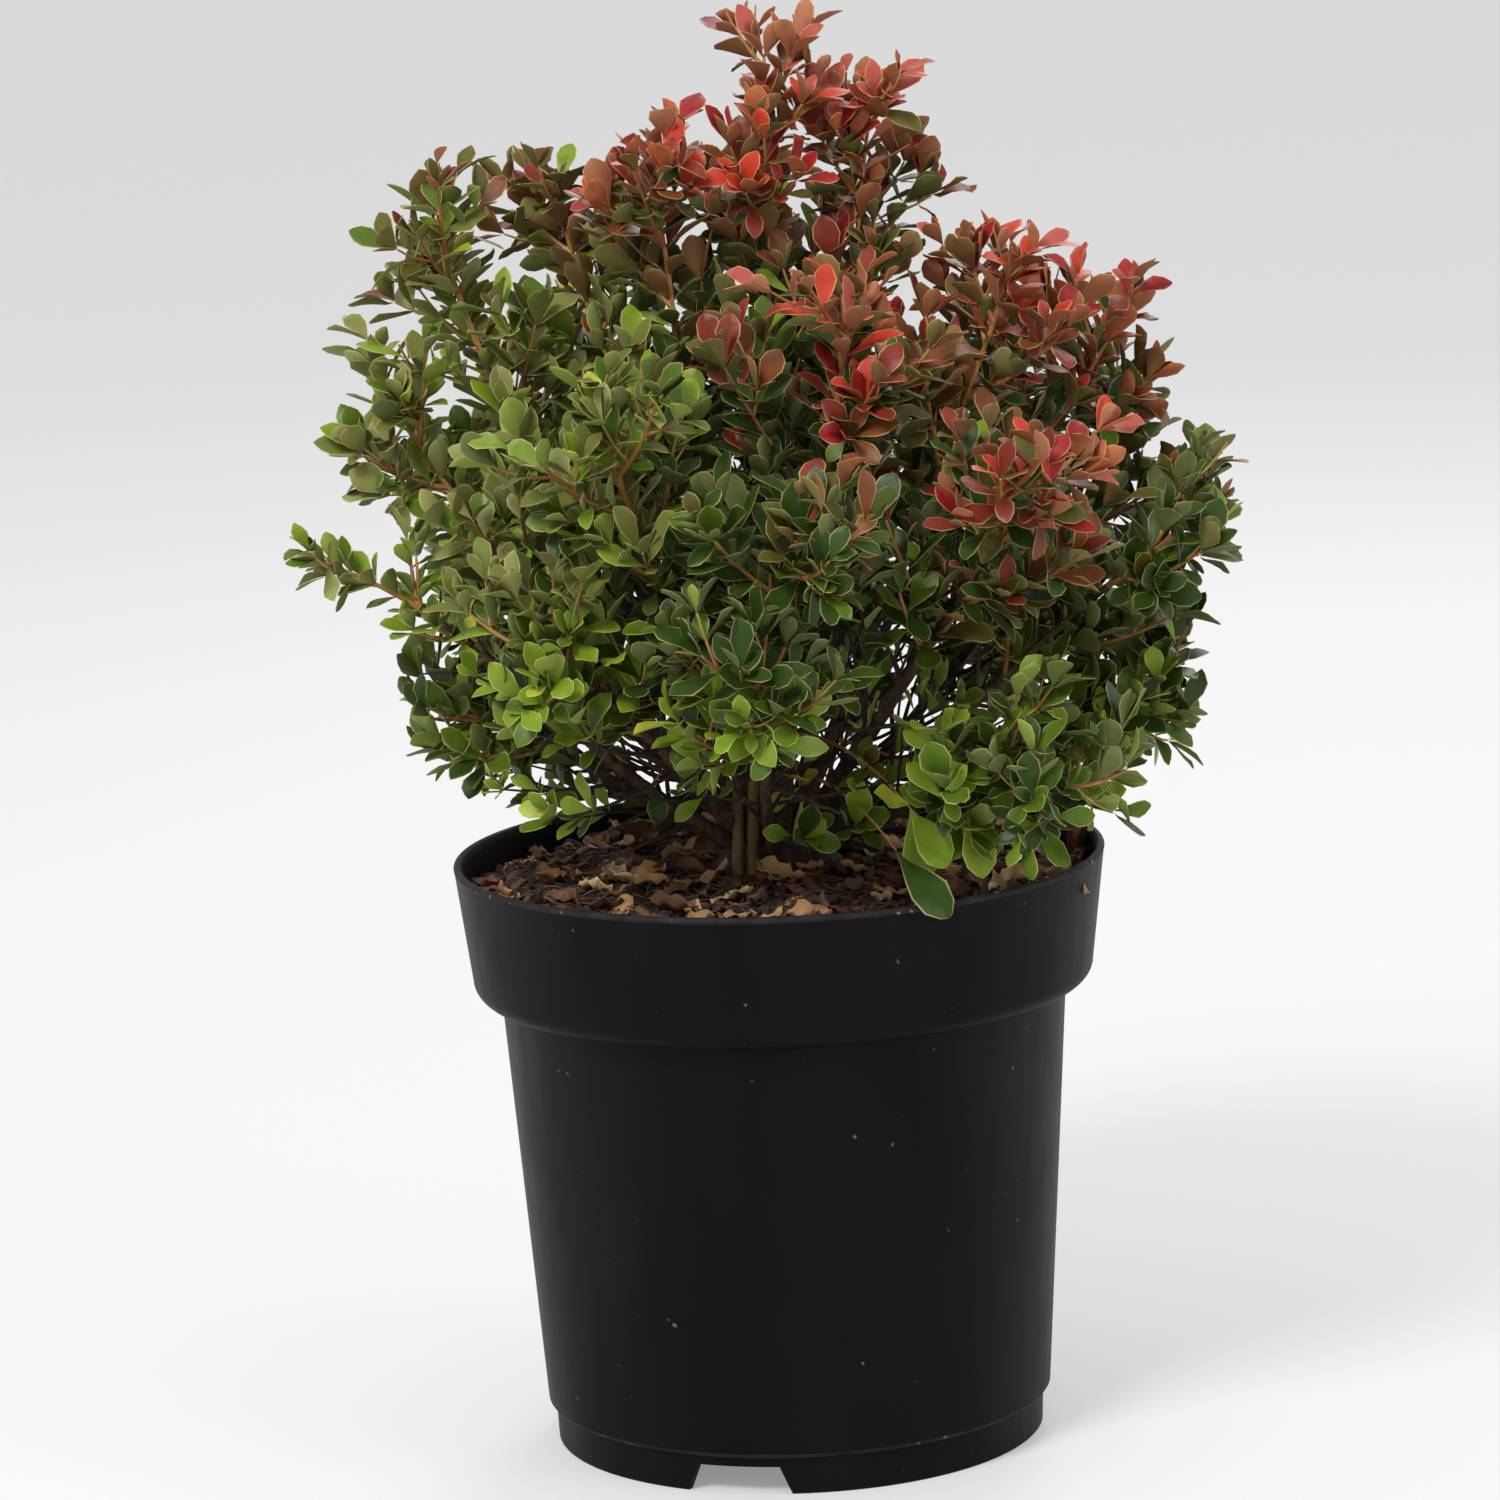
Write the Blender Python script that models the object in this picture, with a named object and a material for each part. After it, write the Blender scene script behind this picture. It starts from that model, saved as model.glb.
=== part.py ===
"""A compact Japanese barberry growing in a round nursery pot.

Units are metres and +Z is up. The origin is the centre of the pot's underside, on the
surface that it stands on. +X is to the right of the plant and +Y is behind it.

A short root crown stands on the soil. Each bough leaves its dome square to it and ends
in a foliage mass, a leading shoot with side shoots and leaves, in a space of its own.
"""

import math
import random
from collections import namedtuple
from itertools import product

import bpy
from mathutils import Vector
from mathutils.bvhtree import BVHTree
from mathutils.geometry import intersect_point_line

MM = 0.001
GAP = 0.3 * MM

# Pot: outer sizes first
POT_SIDES = 40
POT_HEIGHT = 201.0 * MM
POT_WALL = 1.6 * MM
RIM_RADIUS = 110.0 * MM
RIM_BEAD = 2.6 * MM
RIM_ROUND = 0.3 * MM
BEAD_PROUD = 0.8 * MM
BEAD_LIP = 0.5 * MM
COLLAR_HEIGHT = 46.0 * MM
COLLAR_LOW_RADIUS = 105.0 * MM
COLLAR_EDGE = 6.5 * MM
LEDGE_WIDTH = 1.0 * MM
LEDGE_DROP = 0.5 * MM
BODY_TOP_RADIUS = 95.6 * MM
BODY_LOW_RADIUS = 86.0 * MM
FOOT_RADIUS = 83.0 * MM
FOOT_HEIGHT = 12.5 * MM
FOOT_WALL = 3.0 * MM
FOOT_FLARE = 0.6 * MM
FOOT_STEP = 1.6 * MM
BASE_LOW = 9.8 * MM
BASE_TOP = 12.0 * MM
NOTCHES = 3
NOTCH_TURN = math.radians(-105.0)
NOTCH_HEIGHT = 9.4 * MM
NOTCH_TOP_WIDTH = 28.0 * MM
NOTCH_FOOT_WIDTH = 36.0 * MM
NOTCH_REACH = 12.0 * MM
NOTCH_BELOW = 5.0 * MM
DRAIN_RADIUS = 7.0 * MM
DRAIN_PLACE = 60.0 * MM
DRAIN_SIDES = 10

# Soil
SOIL_SIDES = 20
SOIL_EDGE_DROP = 12.0 * MM
SOIL_MOUND = 7.0 * MM
SOIL_SEAT_RADIUS = 26.0 * MM
SOIL_ROUGHNESS = 1.2 * MM
SOIL_RINGS = (0.78, 0.52, 0.26)
SOIL_INSET = 1.6 * GAP

# Root crown
CROWN_SIDES = 20
CROWN_RADIUS = 17.0 * MM
CROWN_FLARE = 6.0 * MM
CROWN_FLARE_HEIGHT = 3.0 * MM
CROWN_RINGS = 5

# Limbs: a limb is one curve, a bough for its first part and a leading shoot for the rest
BOUGH_SHARE = 0.44
BOUGH_SIDES = 5
BOUGH_STEPS = 4
BOUGH_FOOT_RADIUS = 2.7 * MM
BOUGH_TIP_RADIUS = 1.7 * MM
LIMB_HANDLE = 0.36
LIMB_FOOT_SPACING = math.radians(21.0)
LIMB_FOOT_LEAST_RISE = math.radians(22.0)
SPREAD_PASSES = 200
SPREAD_PUSH = 0.4
SPREAD_PULL = 0.02
SPACE_HEADING = 0.75

# Shoots and leaves: shares are places along a shoot, from 0 at its foot to 1 at its tip
SHOOT_SIDES = 3
LEADER_STEPS = 5
SIDE_STEPS = 3
LEADER_FOOT_RADIUS = 1.7 * MM
SIDE_FOOT_RADIUS = 1.25 * MM
SHOOT_TIP_RADIUS = 0.8 * MM
SIDE_SHOOTS = 4
SIDE_PLACES = (0.12, 0.86)
SIDE_ANGLE = math.radians(50.0)
SIDE_LIFT = 0.35
SIDE_LONGEST = 1.15
SIDE_SHORTENING = 0.5
SIDE_SIZES = (1.0, 0.84, 0.68, 0.52)
SIDE_TURNS = (0.0, 0.7, 1.4)
SIDE_ROOM = 3.3 * MM
SIZE_RANGE = (0.85, 1.15)
LEAVES_ON_SIDE = 4
LEAVES_ON_SIDE_PLACES = (0.4, 1.0)
LEAVES_ON_LEADER = 5
LEAVES_ON_LEADER_PLACES = (0.12, 0.9)
LEAF_LEAN = math.radians(64.0)
LEAF_LEAN_LOST = math.radians(34.0)
LEAF_LAST_PLACE = 0.96
LEAF_LAST_LEAN = math.radians(12.0)
ROSETTE_LEAVES = 3
ROSETTE_PLACE = 0.97
ROSETTE_STEP = 0.03
ROSETTE_TURN = 2.1
ROSETTE_LEAN = math.radians(42.0)
GOLDEN_ANGLE = math.radians(137.5)
LEAF_LENGTH = 33.0 * MM
LEAF_HALF_WIDTH = 9.2 * MM
LEAF_THICKNESS = 1.2 * MM
LEAF_WIDEST = 0.6
LEAF_KEEL = 0.5
LEAF_ARCH = 0.03
LEAF_ROLL = 0.4
LEAF_SIZES = (1.0, 0.75)
LEAF_TURNS = (0.0, 0.8, 1.6, 2.4, 3.2)
TIP_LEAF_COVER = 0.7
STALK_SHARE = 0.16
SPACE_MARGIN = 0.4 * MM
LIMB_MARGIN = 0.5 * MM
POT_CLEARANCE = 17.0 * MM
HANGING_CLEARANCE = 3.0 * MM
HALF_WIDTH = 160.0 * MM
HALF_DEPTH = 148.0 * MM
SEED = 1923

# One foliage mass: bearing of its tip round the pot's axis (0 right, 90 back, 180 left,
# 270 front), reach of the tip from the axis and height above the floor in millimetres,
# rise of the growing tip in degrees, length of its side shoots in millimetres, and how
# far its leaves have turned from green to red.
Spray = namedtuple("Spray", "name bearing reach height rise spread autumn")

SPRAYS = (
    Spray("spire", 0, 6, 485, 88, 32, 0.9),
    Spray("crest_right", 12, 44, 463, 78, 40, 0.8),
    Spray("crest_left", 196, 37, 450, 80, 36, 0.7),
    Spray("crest_back", 90, 66, 430, 76, 42, 0.6),
    Spray("crest_front", 291, 86, 400, 68, 44, 0.8),
    Spray("left_tall", 180, 110, 436, 78, 34, 0.35),
    Spray("left_second", 152, 78, 434, 78, 36, 0.35),
    Spray("right_high", 346, 92, 408, 68, 42, 0.9),
    Spray("right_shoulder", 8, 131, 388, 58, 40, 0.7),
    Spray("left_flank", 189, 133, 381, 66, 34, 0.0),
    Spray("front_left", 242, 120, 374, 58, 44, 0.1),
    Spray("front_middle", 274, 142, 336, 40, 42, 0.3),
    Spray("front_right", 309, 146, 350, 50, 44, 0.7),
    Spray("back_left", 130, 130, 376, 58, 44, 0.2),
    Spray("back_middle", 87, 138, 346, 48, 46, 0.4),
    Spray("back_right", 47, 134, 370, 58, 44, 0.5),
    Spray("right_flank", 354, 157, 318, 30, 42, 0.3),
    Spray("right_rear", 23, 150, 338, 42, 42, 0.4),
    Spray("left_rear", 156, 128, 330, 40, 42, 0.1),
    Spray("left_runner", 197, 167, 317, 16, 18, 0.0),
    Spray("right_skirt", 2, 142, 252, 6, 44, 0.0),
    Spray("back_right_skirt", 42, 146, 276, 12, 44, 0.0),
    Spray("back_skirt", 88, 144, 262, 8, 44, 0.0),
    Spray("back_left_skirt", 138, 142, 272, 12, 44, 0.0),
    Spray("left_skirt", 186, 120, 258, 12, 38, 0.0),
    Spray("front_left_skirt", 232, 136, 294, 18, 42, 0.0),
    Spray("front_skirt", 268, 144, 284, 10, 42, 0.0),
    Spray("front_right_skirt", 314, 146, 236, -6, 44, 0.0),
)

Tube = namedtuple("Tube", "points radii")
Blade = namedtuple("Blade", "root tip left right top")
Limb = namedtuple("Limb", "spray handles")


def clear_scene():
    """Remove whatever the file holds."""
    for held in list(bpy.data.objects):
        bpy.data.objects.remove(held, do_unlink=True)


def make_material(name, colour, roughness, metallic=0.0):
    """A plain finish."""
    material = bpy.data.materials.new(name)
    material.use_nodes = True
    shader = material.node_tree.nodes["Principled BSDF"]
    shader.inputs["Base Color"].default_value = (*colour, 1.0)
    shader.inputs["Roughness"].default_value = roughness
    shader.inputs["Metallic"].default_value = metallic
    material.diffuse_color = (*colour, 1.0)
    return material


def add_object(name, vertices, faces, material=None, collection=None):
    """A mesh object from points and faces."""
    mesh = bpy.data.meshes.new(name)
    mesh.from_pydata([tuple(v) for v in vertices], [], faces)
    mesh.validate()
    made = bpy.data.objects.new(name, mesh)
    (collection or bpy.context.scene.collection).objects.link(made)
    if material is not None:
        mesh.materials.append(material)
    return made


def shade_round(made, sharp_degrees=35.0):
    """Smooth shading that keeps the sharp edges."""
    made.data.shade_smooth()
    made.data.set_sharp_from_angle(angle=math.radians(sharp_degrees))


def turned(profile, sides, lift=None):
    """Points and faces of a profile of (radius, height) turned round the Z axis.

    The profile runs from the bottom pole up the outside to the top pole, and each pole
    is a point with radius 0. lift(radius, angle, height) may raise a point.
    """
    vertices = []
    rings = []
    for radius, height in profile:
        if radius == 0.0:
            rings.append([len(vertices)] * sides)
            vertices.append((0.0, 0.0, height))
            continue
        rings.append(list(range(len(vertices), len(vertices) + sides)))
        for step in range(sides):
            angle = math.tau * step / sides
            z = height + (lift(radius, angle, height) if lift else 0.0)
            vertices.append((radius * math.cos(angle), radius * math.sin(angle), z))
    faces = []
    for low, high in zip(rings, rings[1:]):
        for a in range(sides):
            b = (a + 1) % sides
            corners = (low[a], low[b], high[b], high[a])
            faces.append(tuple(dict.fromkeys(corners)))
    return vertices, faces


def fuse(made, pieces, operation):
    """Join the pieces to an object, or cut them from it, in one Boolean that is applied."""
    modifier = made.modifiers.new("fuse", "BOOLEAN")
    modifier.operation = operation
    modifier.operand_type = "COLLECTION"
    modifier.collection = pieces
    modifier.solver = "EXACT"
    graph = bpy.context.evaluated_depsgraph_get()
    result = bpy.data.meshes.new_from_object(made.evaluated_get(graph))
    made.modifiers.remove(modifier)
    made.data = result
    result.name = made.name
    for piece in list(pieces.objects):
        bpy.data.objects.remove(piece, do_unlink=True)
    bpy.data.collections.remove(pieces)


def new_collection(name):
    """An empty collection in the scene."""
    collection = bpy.data.collections.new(name)
    bpy.context.scene.collection.children.link(collection)
    return collection


def collar_low():
    """Height of the collar's underside."""
    return POT_HEIGHT - COLLAR_HEIGHT


def pot_profile():
    """The pot's section: up its outside, over the rim, down its inside and under its base."""
    low = collar_low()
    edge_radius = COLLAR_LOW_RADIUS - COLLAR_EDGE
    edge = []
    for step in range(3):
        angle = math.radians(-90.0 + 45.0 * step)
        radius = edge_radius + COLLAR_EDGE * math.cos(angle)
        edge.append((radius, low + COLLAR_EDGE * (1.0 + math.sin(angle))))
    outside = [
        (FOOT_RADIUS - FOOT_WALL, 0.0),
        (FOOT_RADIUS, 0.0),
        (FOOT_RADIUS + FOOT_FLARE, FOOT_HEIGHT),
        (BODY_LOW_RADIUS, FOOT_HEIGHT + FOOT_STEP),
        (BODY_TOP_RADIUS, low),
        *edge,
        (RIM_RADIUS - BEAD_PROUD, POT_HEIGHT - RIM_BEAD),
        (RIM_RADIUS, POT_HEIGHT - 0.7 * RIM_BEAD),
        (RIM_RADIUS - RIM_ROUND, POT_HEIGHT),
    ]
    inside = [
        (RIM_RADIUS - RIM_BEAD, POT_HEIGHT),
        (RIM_RADIUS - RIM_BEAD - BEAD_LIP, POT_HEIGHT - RIM_BEAD),
        *pot_inside(),
        (0.0, BASE_TOP),
    ]
    return [(0.0, BASE_LOW), (FOOT_RADIUS - FOOT_WALL, BASE_LOW)] + outside + inside


def pot_inside():
    """Points of the pot's inner wall, from under the rim to the corner of its base."""
    low = collar_low()
    return [
        (COLLAR_LOW_RADIUS - POT_WALL, low + COLLAR_EDGE),
        (BODY_TOP_RADIUS + LEDGE_WIDTH, low + POT_WALL),
        (BODY_TOP_RADIUS - POT_WALL, low - LEDGE_DROP),
        (BODY_LOW_RADIUS - POT_WALL, FOOT_HEIGHT + 2.0 * POT_WALL),
        (FOOT_RADIUS - POT_WALL, BASE_TOP),
    ]


def notch_cutter(angle, collection):
    """A block with the notch's outline, from outside the foot to inside it."""
    reaches = (FOOT_RADIUS - NOTCH_REACH, FOOT_RADIUS + NOTCH_REACH)
    low = -NOTCH_BELOW
    slope = (NOTCH_FOOT_WIDTH - NOTCH_TOP_WIDTH) / NOTCH_HEIGHT
    low_half = (NOTCH_FOOT_WIDTH - slope * low) / 2
    top_half = NOTCH_TOP_WIDTH / 2
    outline = [
        (-low_half, low),
        (low_half, low),
        (top_half, NOTCH_HEIGHT),
        (-top_half, NOTCH_HEIGHT),
    ]
    out = Vector((math.cos(angle), math.sin(angle), 0.0))
    across = Vector((-math.sin(angle), math.cos(angle), 0.0))
    vertices = [out * reach + across * x + Vector((0, 0, z)) for reach in reaches for x, z in outline]
    faces = [(3, 2, 1, 0), (4, 5, 6, 7)]
    faces += [(a, (a + 1) % 4, 4 + (a + 1) % 4, 4 + a) for a in range(4)]
    return add_object("notch", vertices, faces, collection=collection)


def drain_cutter(place, turn, collection):
    """An upright round plug through the base."""
    low = BASE_LOW - MM
    high = BASE_TOP + MM
    profile = [(0.0, low), (DRAIN_RADIUS, low), (DRAIN_RADIUS, high), (0.0, high)]
    vertices, faces = turned(profile, DRAIN_SIDES)
    shift = Vector((place * math.cos(turn), place * math.sin(turn), 0.0))
    return add_object("drain", [Vector(v) + shift for v in vertices], faces, collection=collection)


def build_pot():
    """The nursery pot: a tapering body, a wide collar, and a foot ring with notches."""
    material = make_material("black_plastic", (0.012, 0.010, 0.012), 0.55)
    vertices, faces = turned(pot_profile(), POT_SIDES)
    pot = add_object("pot", vertices, faces, material)
    cutters = new_collection("foot_cutters")
    for notch in range(NOTCHES):
        turn = NOTCH_TURN + math.tau * notch / NOTCHES
        notch_cutter(turn, cutters)
        drain_cutter(DRAIN_PLACE, turn, cutters)
    drain_cutter(0.0, 0.0, cutters)
    fuse(pot, cutters, "DIFFERENCE")
    shade_round(pot)
    return pot


def soil_top():
    """Height of the soil's level seat under the plant."""
    return POT_HEIGHT - SOIL_EDGE_DROP + SOIL_MOUND


def build_soil():
    """The potting soil: it fills the pot and rises a little to a level seat."""

    def uneven(radius, angle, height):
        share = (radius - SOIL_SEAT_RADIUS) / (RIM_RADIUS - SOIL_SEAT_RADIUS)
        if height < POT_HEIGHT - SOIL_EDGE_DROP or share <= 0.0:
            return 0.0
        waves = math.sin(3 * angle + 60 * radius) + math.sin(5 * angle + 1.7)
        return SOIL_ROUGHNESS * waves * math.sin(math.pi * share)

    material = make_material("potting_soil", (0.045, 0.026, 0.018), 0.95)
    edge = POT_HEIGHT - SOIL_EDGE_DROP
    wall = [(radius - SOIL_INSET, height + GAP) for radius, height in reversed(pot_inside())]
    slope = (RIM_RADIUS - COLLAR_LOW_RADIUS) / COLLAR_HEIGHT
    edge_radius = COLLAR_LOW_RADIUS - POT_WALL - SOIL_INSET
    edge_radius += slope * (edge - collar_low() - COLLAR_EDGE)
    profile = [(0.0, BASE_TOP + GAP), *wall, (edge_radius, edge)]
    for share in SOIL_RINGS:
        radius = SOIL_SEAT_RADIUS + share * (edge_radius - SOIL_SEAT_RADIUS)
        profile.append((radius, edge + SOIL_MOUND * math.cos(share * math.pi / 2)))
    profile += [(SOIL_SEAT_RADIUS, soil_top()), (0.0, soil_top())]
    vertices, faces = turned(profile, SOIL_SIDES, uneven)
    soil = add_object("soil", vertices, faces, material)
    shade_round(soil)
    return soil


def crown_centre():
    """Centre of the root crown's dome, on its flat cut."""
    return Vector((0.0, 0.0, soil_top() + GAP))


def build_root_crown():
    """The short woody stem that all boughs leave: a dome that flares out to its flat cut."""
    material = make_material("old_wood", (0.075, 0.045, 0.030), 0.85)
    base = crown_centre().z
    profile = [(0.0, base), (CROWN_RADIUS + CROWN_FLARE, base)]
    profile.append((CROWN_RADIUS + 0.35 * CROWN_FLARE, base + 0.5 * CROWN_FLARE_HEIGHT))
    low = math.asin(CROWN_FLARE_HEIGHT / CROWN_RADIUS)
    for step in range(CROWN_RINGS):
        angle = low + (math.pi / 2 - low) * step / CROWN_RINGS
        profile.append((CROWN_RADIUS * math.cos(angle), base + CROWN_RADIUS * math.sin(angle)))
    profile.append((0.0, base + CROWN_RADIUS))
    vertices, faces = turned(profile, CROWN_SIDES)
    crown = add_object("root_crown", vertices, faces, material)
    shade_round(crown)
    return crown


def spray_tip(spray):
    """The furthest point of a foliage mass."""
    bearing = math.radians(spray.bearing)
    reach = spray.reach * MM
    return Vector((reach * math.cos(bearing), reach * math.sin(bearing), spray.height * MM))


def spread_apart(directions):
    """Turn directions out of the dome until neighbours leave room for their limbs' feet."""
    spread = [d.copy() for d in directions]
    for _ in range(SPREAD_PASSES):
        for i, a in enumerate(spread):
            push = Vector((0.0, 0.0, 0.0))
            for j, b in enumerate(spread):
                angle = a.angle(b) if i != j else math.pi
                if angle < LIMB_FOOT_SPACING:
                    push += (a - b).normalized() * (LIMB_FOOT_SPACING - angle)
            moved = (a + push * SPREAD_PUSH + directions[i] * SPREAD_PULL).normalized()
            flat = Vector((moved.x, moved.y, 0.0)).normalized()
            rise = max(math.asin(moved.z), LIMB_FOOT_LEAST_RISE)
            spread[i] = flat * math.cos(rise) + Vector((0.0, 0.0, math.sin(rise)))
    return spread


def evenly(count, start, end):
    """Evenly spaced values from start to end."""
    return [start + (end - start) * index / (count - 1) for index in range(count)]


def limb_curve(handles, t):
    """Point at t on a limb, a cubic curve with four handles."""
    a, b, c, d = handles
    s = 1.0 - t
    return a * s**3 + b * (3 * s * s * t) + c * (3 * s * t * t) + d * t**3


def plan_limbs():
    """The curve of each limb, from its seat on the root crown to its spray's tip."""
    centre = crown_centre()
    tips = [spray_tip(spray) for spray in SPRAYS]
    feet = spread_apart([(tip - centre).normalized() for tip in tips])
    limbs = []
    for spray, tip, foot in zip(SPRAYS, tips, feet):
        start = centre + foot * (CROWN_RADIUS + GAP)
        handle = LIMB_HANDLE * (tip - start).length
        bearing = math.radians(spray.bearing)
        rise = math.radians(spray.rise)
        flat = Vector((math.cos(bearing), math.sin(bearing), 0.0)) * math.cos(rise)
        heading = flat + Vector((0.0, 0.0, math.sin(rise)))
        limbs.append(Limb(spray, (start, start + foot * handle, tip - heading * handle, tip)))
    return limbs


def bough_tube(limb):
    """The bough's centre line and radii."""
    shares = evenly(BOUGH_STEPS + 1, 0.0, BOUGH_SHARE)
    points = [limb_curve(limb.handles, share) for share in shares]
    return Tube(points, evenly(BOUGH_STEPS + 1, BOUGH_FOOT_RADIUS, BOUGH_TIP_RADIUS))


def tube_mesh(tube, sides):
    """Points and faces of a closed limb whose ends are cut square."""
    vertices = []
    faces = []
    last = len(tube.points) - 1
    side = None
    for index, (point, radius) in enumerate(zip(tube.points, tube.radii)):
        before = tube.points[max(index - 1, 0)]
        after = tube.points[min(index + 1, last)]
        heading = (after - before).normalized()
        if side is None:
            side = heading.orthogonal().normalized()
        side = (side - heading * side.dot(heading)).normalized()
        other = heading.cross(side)
        for corner in range(sides):
            angle = math.tau * corner / sides
            vertices.append(point + (side * math.cos(angle) + other * math.sin(angle)) * radius)
    for ring in range(last):
        low = ring * sides
        for a in range(sides):
            b = (a + 1) % sides
            faces.append((low + a, low + b, low + sides + b, low + sides + a))
    faces.append(tuple(reversed(range(sides))))
    faces.append(tuple(range(last * sides, (last + 1) * sides)))
    return vertices, faces


def blade_mesh(blade):
    """Points and faces of a leaf: four faces above, and below one to each end."""
    root, tip, left, right, top = range(5)
    faces = [(root, left, right), (left, tip, right)]
    edge = (root, right, tip, left)
    faces += [(a, b, top) for a, b in zip(edge, edge[1:] + edge[:1])]
    return list(blade), faces


def make_blade(root, heading, face, length, half_width):
    """A leaf that grows from root along heading, its upper side towards face."""
    upper = (face - heading * face.dot(heading)).normalized()
    across = heading.cross(upper)
    widest = root + heading * (length * LEAF_WIDEST)
    keel = root + heading * (length * LEAF_KEEL)
    arch = upper * (LEAF_ARCH * length)
    return Blade(
        root,
        root + heading * length,
        widest - across * half_width + arch,
        widest + across * half_width + arch,
        keel + arch * (LEAF_KEEL / LEAF_WIDEST) + upper * LEAF_THICKNESS,
    )


def segment_gap(a, b, c, d):
    """Shortest distance between the stretches a to b and c to d."""
    steps = 8
    least = math.inf
    for step in range(steps + 1):
        point = a.lerp(b, step / steps)
        near, share = intersect_point_line(point, c, d)
        near = c if share < 0.0 else d if share > 1.0 else near
        least = min(least, (point - near).length)
    return least


class Space:
    """The room that one foliage mass keeps to.

    It is the cone of directions out of the root crown that are nearer the mass's own
    heading than any other's. It ends at the tip's height and reach, with some room for
    side shoots beside an upright tip or above a level one, and at the crown's outer sizes.
    """

    def __init__(self, spray, index, headings, boughs):
        bearing = math.radians(spray.bearing)
        out = Vector((math.cos(bearing), math.sin(bearing), 0.0))
        up = Vector((0.0, 0.0, 1.0))
        upright = spray.rise / 90.0
        beside = spray.spread * MM * upright**2
        above = spray.spread * MM * (1.0 - upright) ** 2
        self.walls = [(out, spray.reach * MM + beside), (up, spray.height * MM + MM + above)]
        for side in (-1.0, 1.0):
            self.walls.append((Vector((side, 0.0, 0.0)), HALF_WIDTH))
            self.walls.append((Vector((0.0, side, 0.0)), HALF_DEPTH))
        for other, heading in enumerate(headings):
            if other != index:
                away = (heading - headings[index]).normalized()
                self.walls.append((away, away.dot(crown_centre())))
        self.floor = POT_HEIGHT + (HANGING_CLEARANCE if spray.rise < 0 else POT_CLEARANCE)
        self.boughs = boughs

    def depth(self, point):
        """How far a point lies inside the space, the rim's clearance included."""
        depth = min(level - away.dot(point) for away, level in self.walls)
        return min(depth, point.z - self.floor)

    def holds(self, points, margin):
        """Whether all points lie inside by a margin."""
        return all(self.depth(point) > margin for point in points)

    def clears_boughs(self, a, b, reach):
        """Whether the stretch a to b, with material round it to reach, misses all boughs."""
        for bough in self.boughs:
            limit = reach + max(bough.radii) + LIMB_MARGIN
            if (bough.points[-1] - a).length > 0.2 + limit:
                continue
            for c, d in zip(bough.points, bough.points[1:]):
                if segment_gap(a, b, c, d) < limit:
                    return False
        return True


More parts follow.
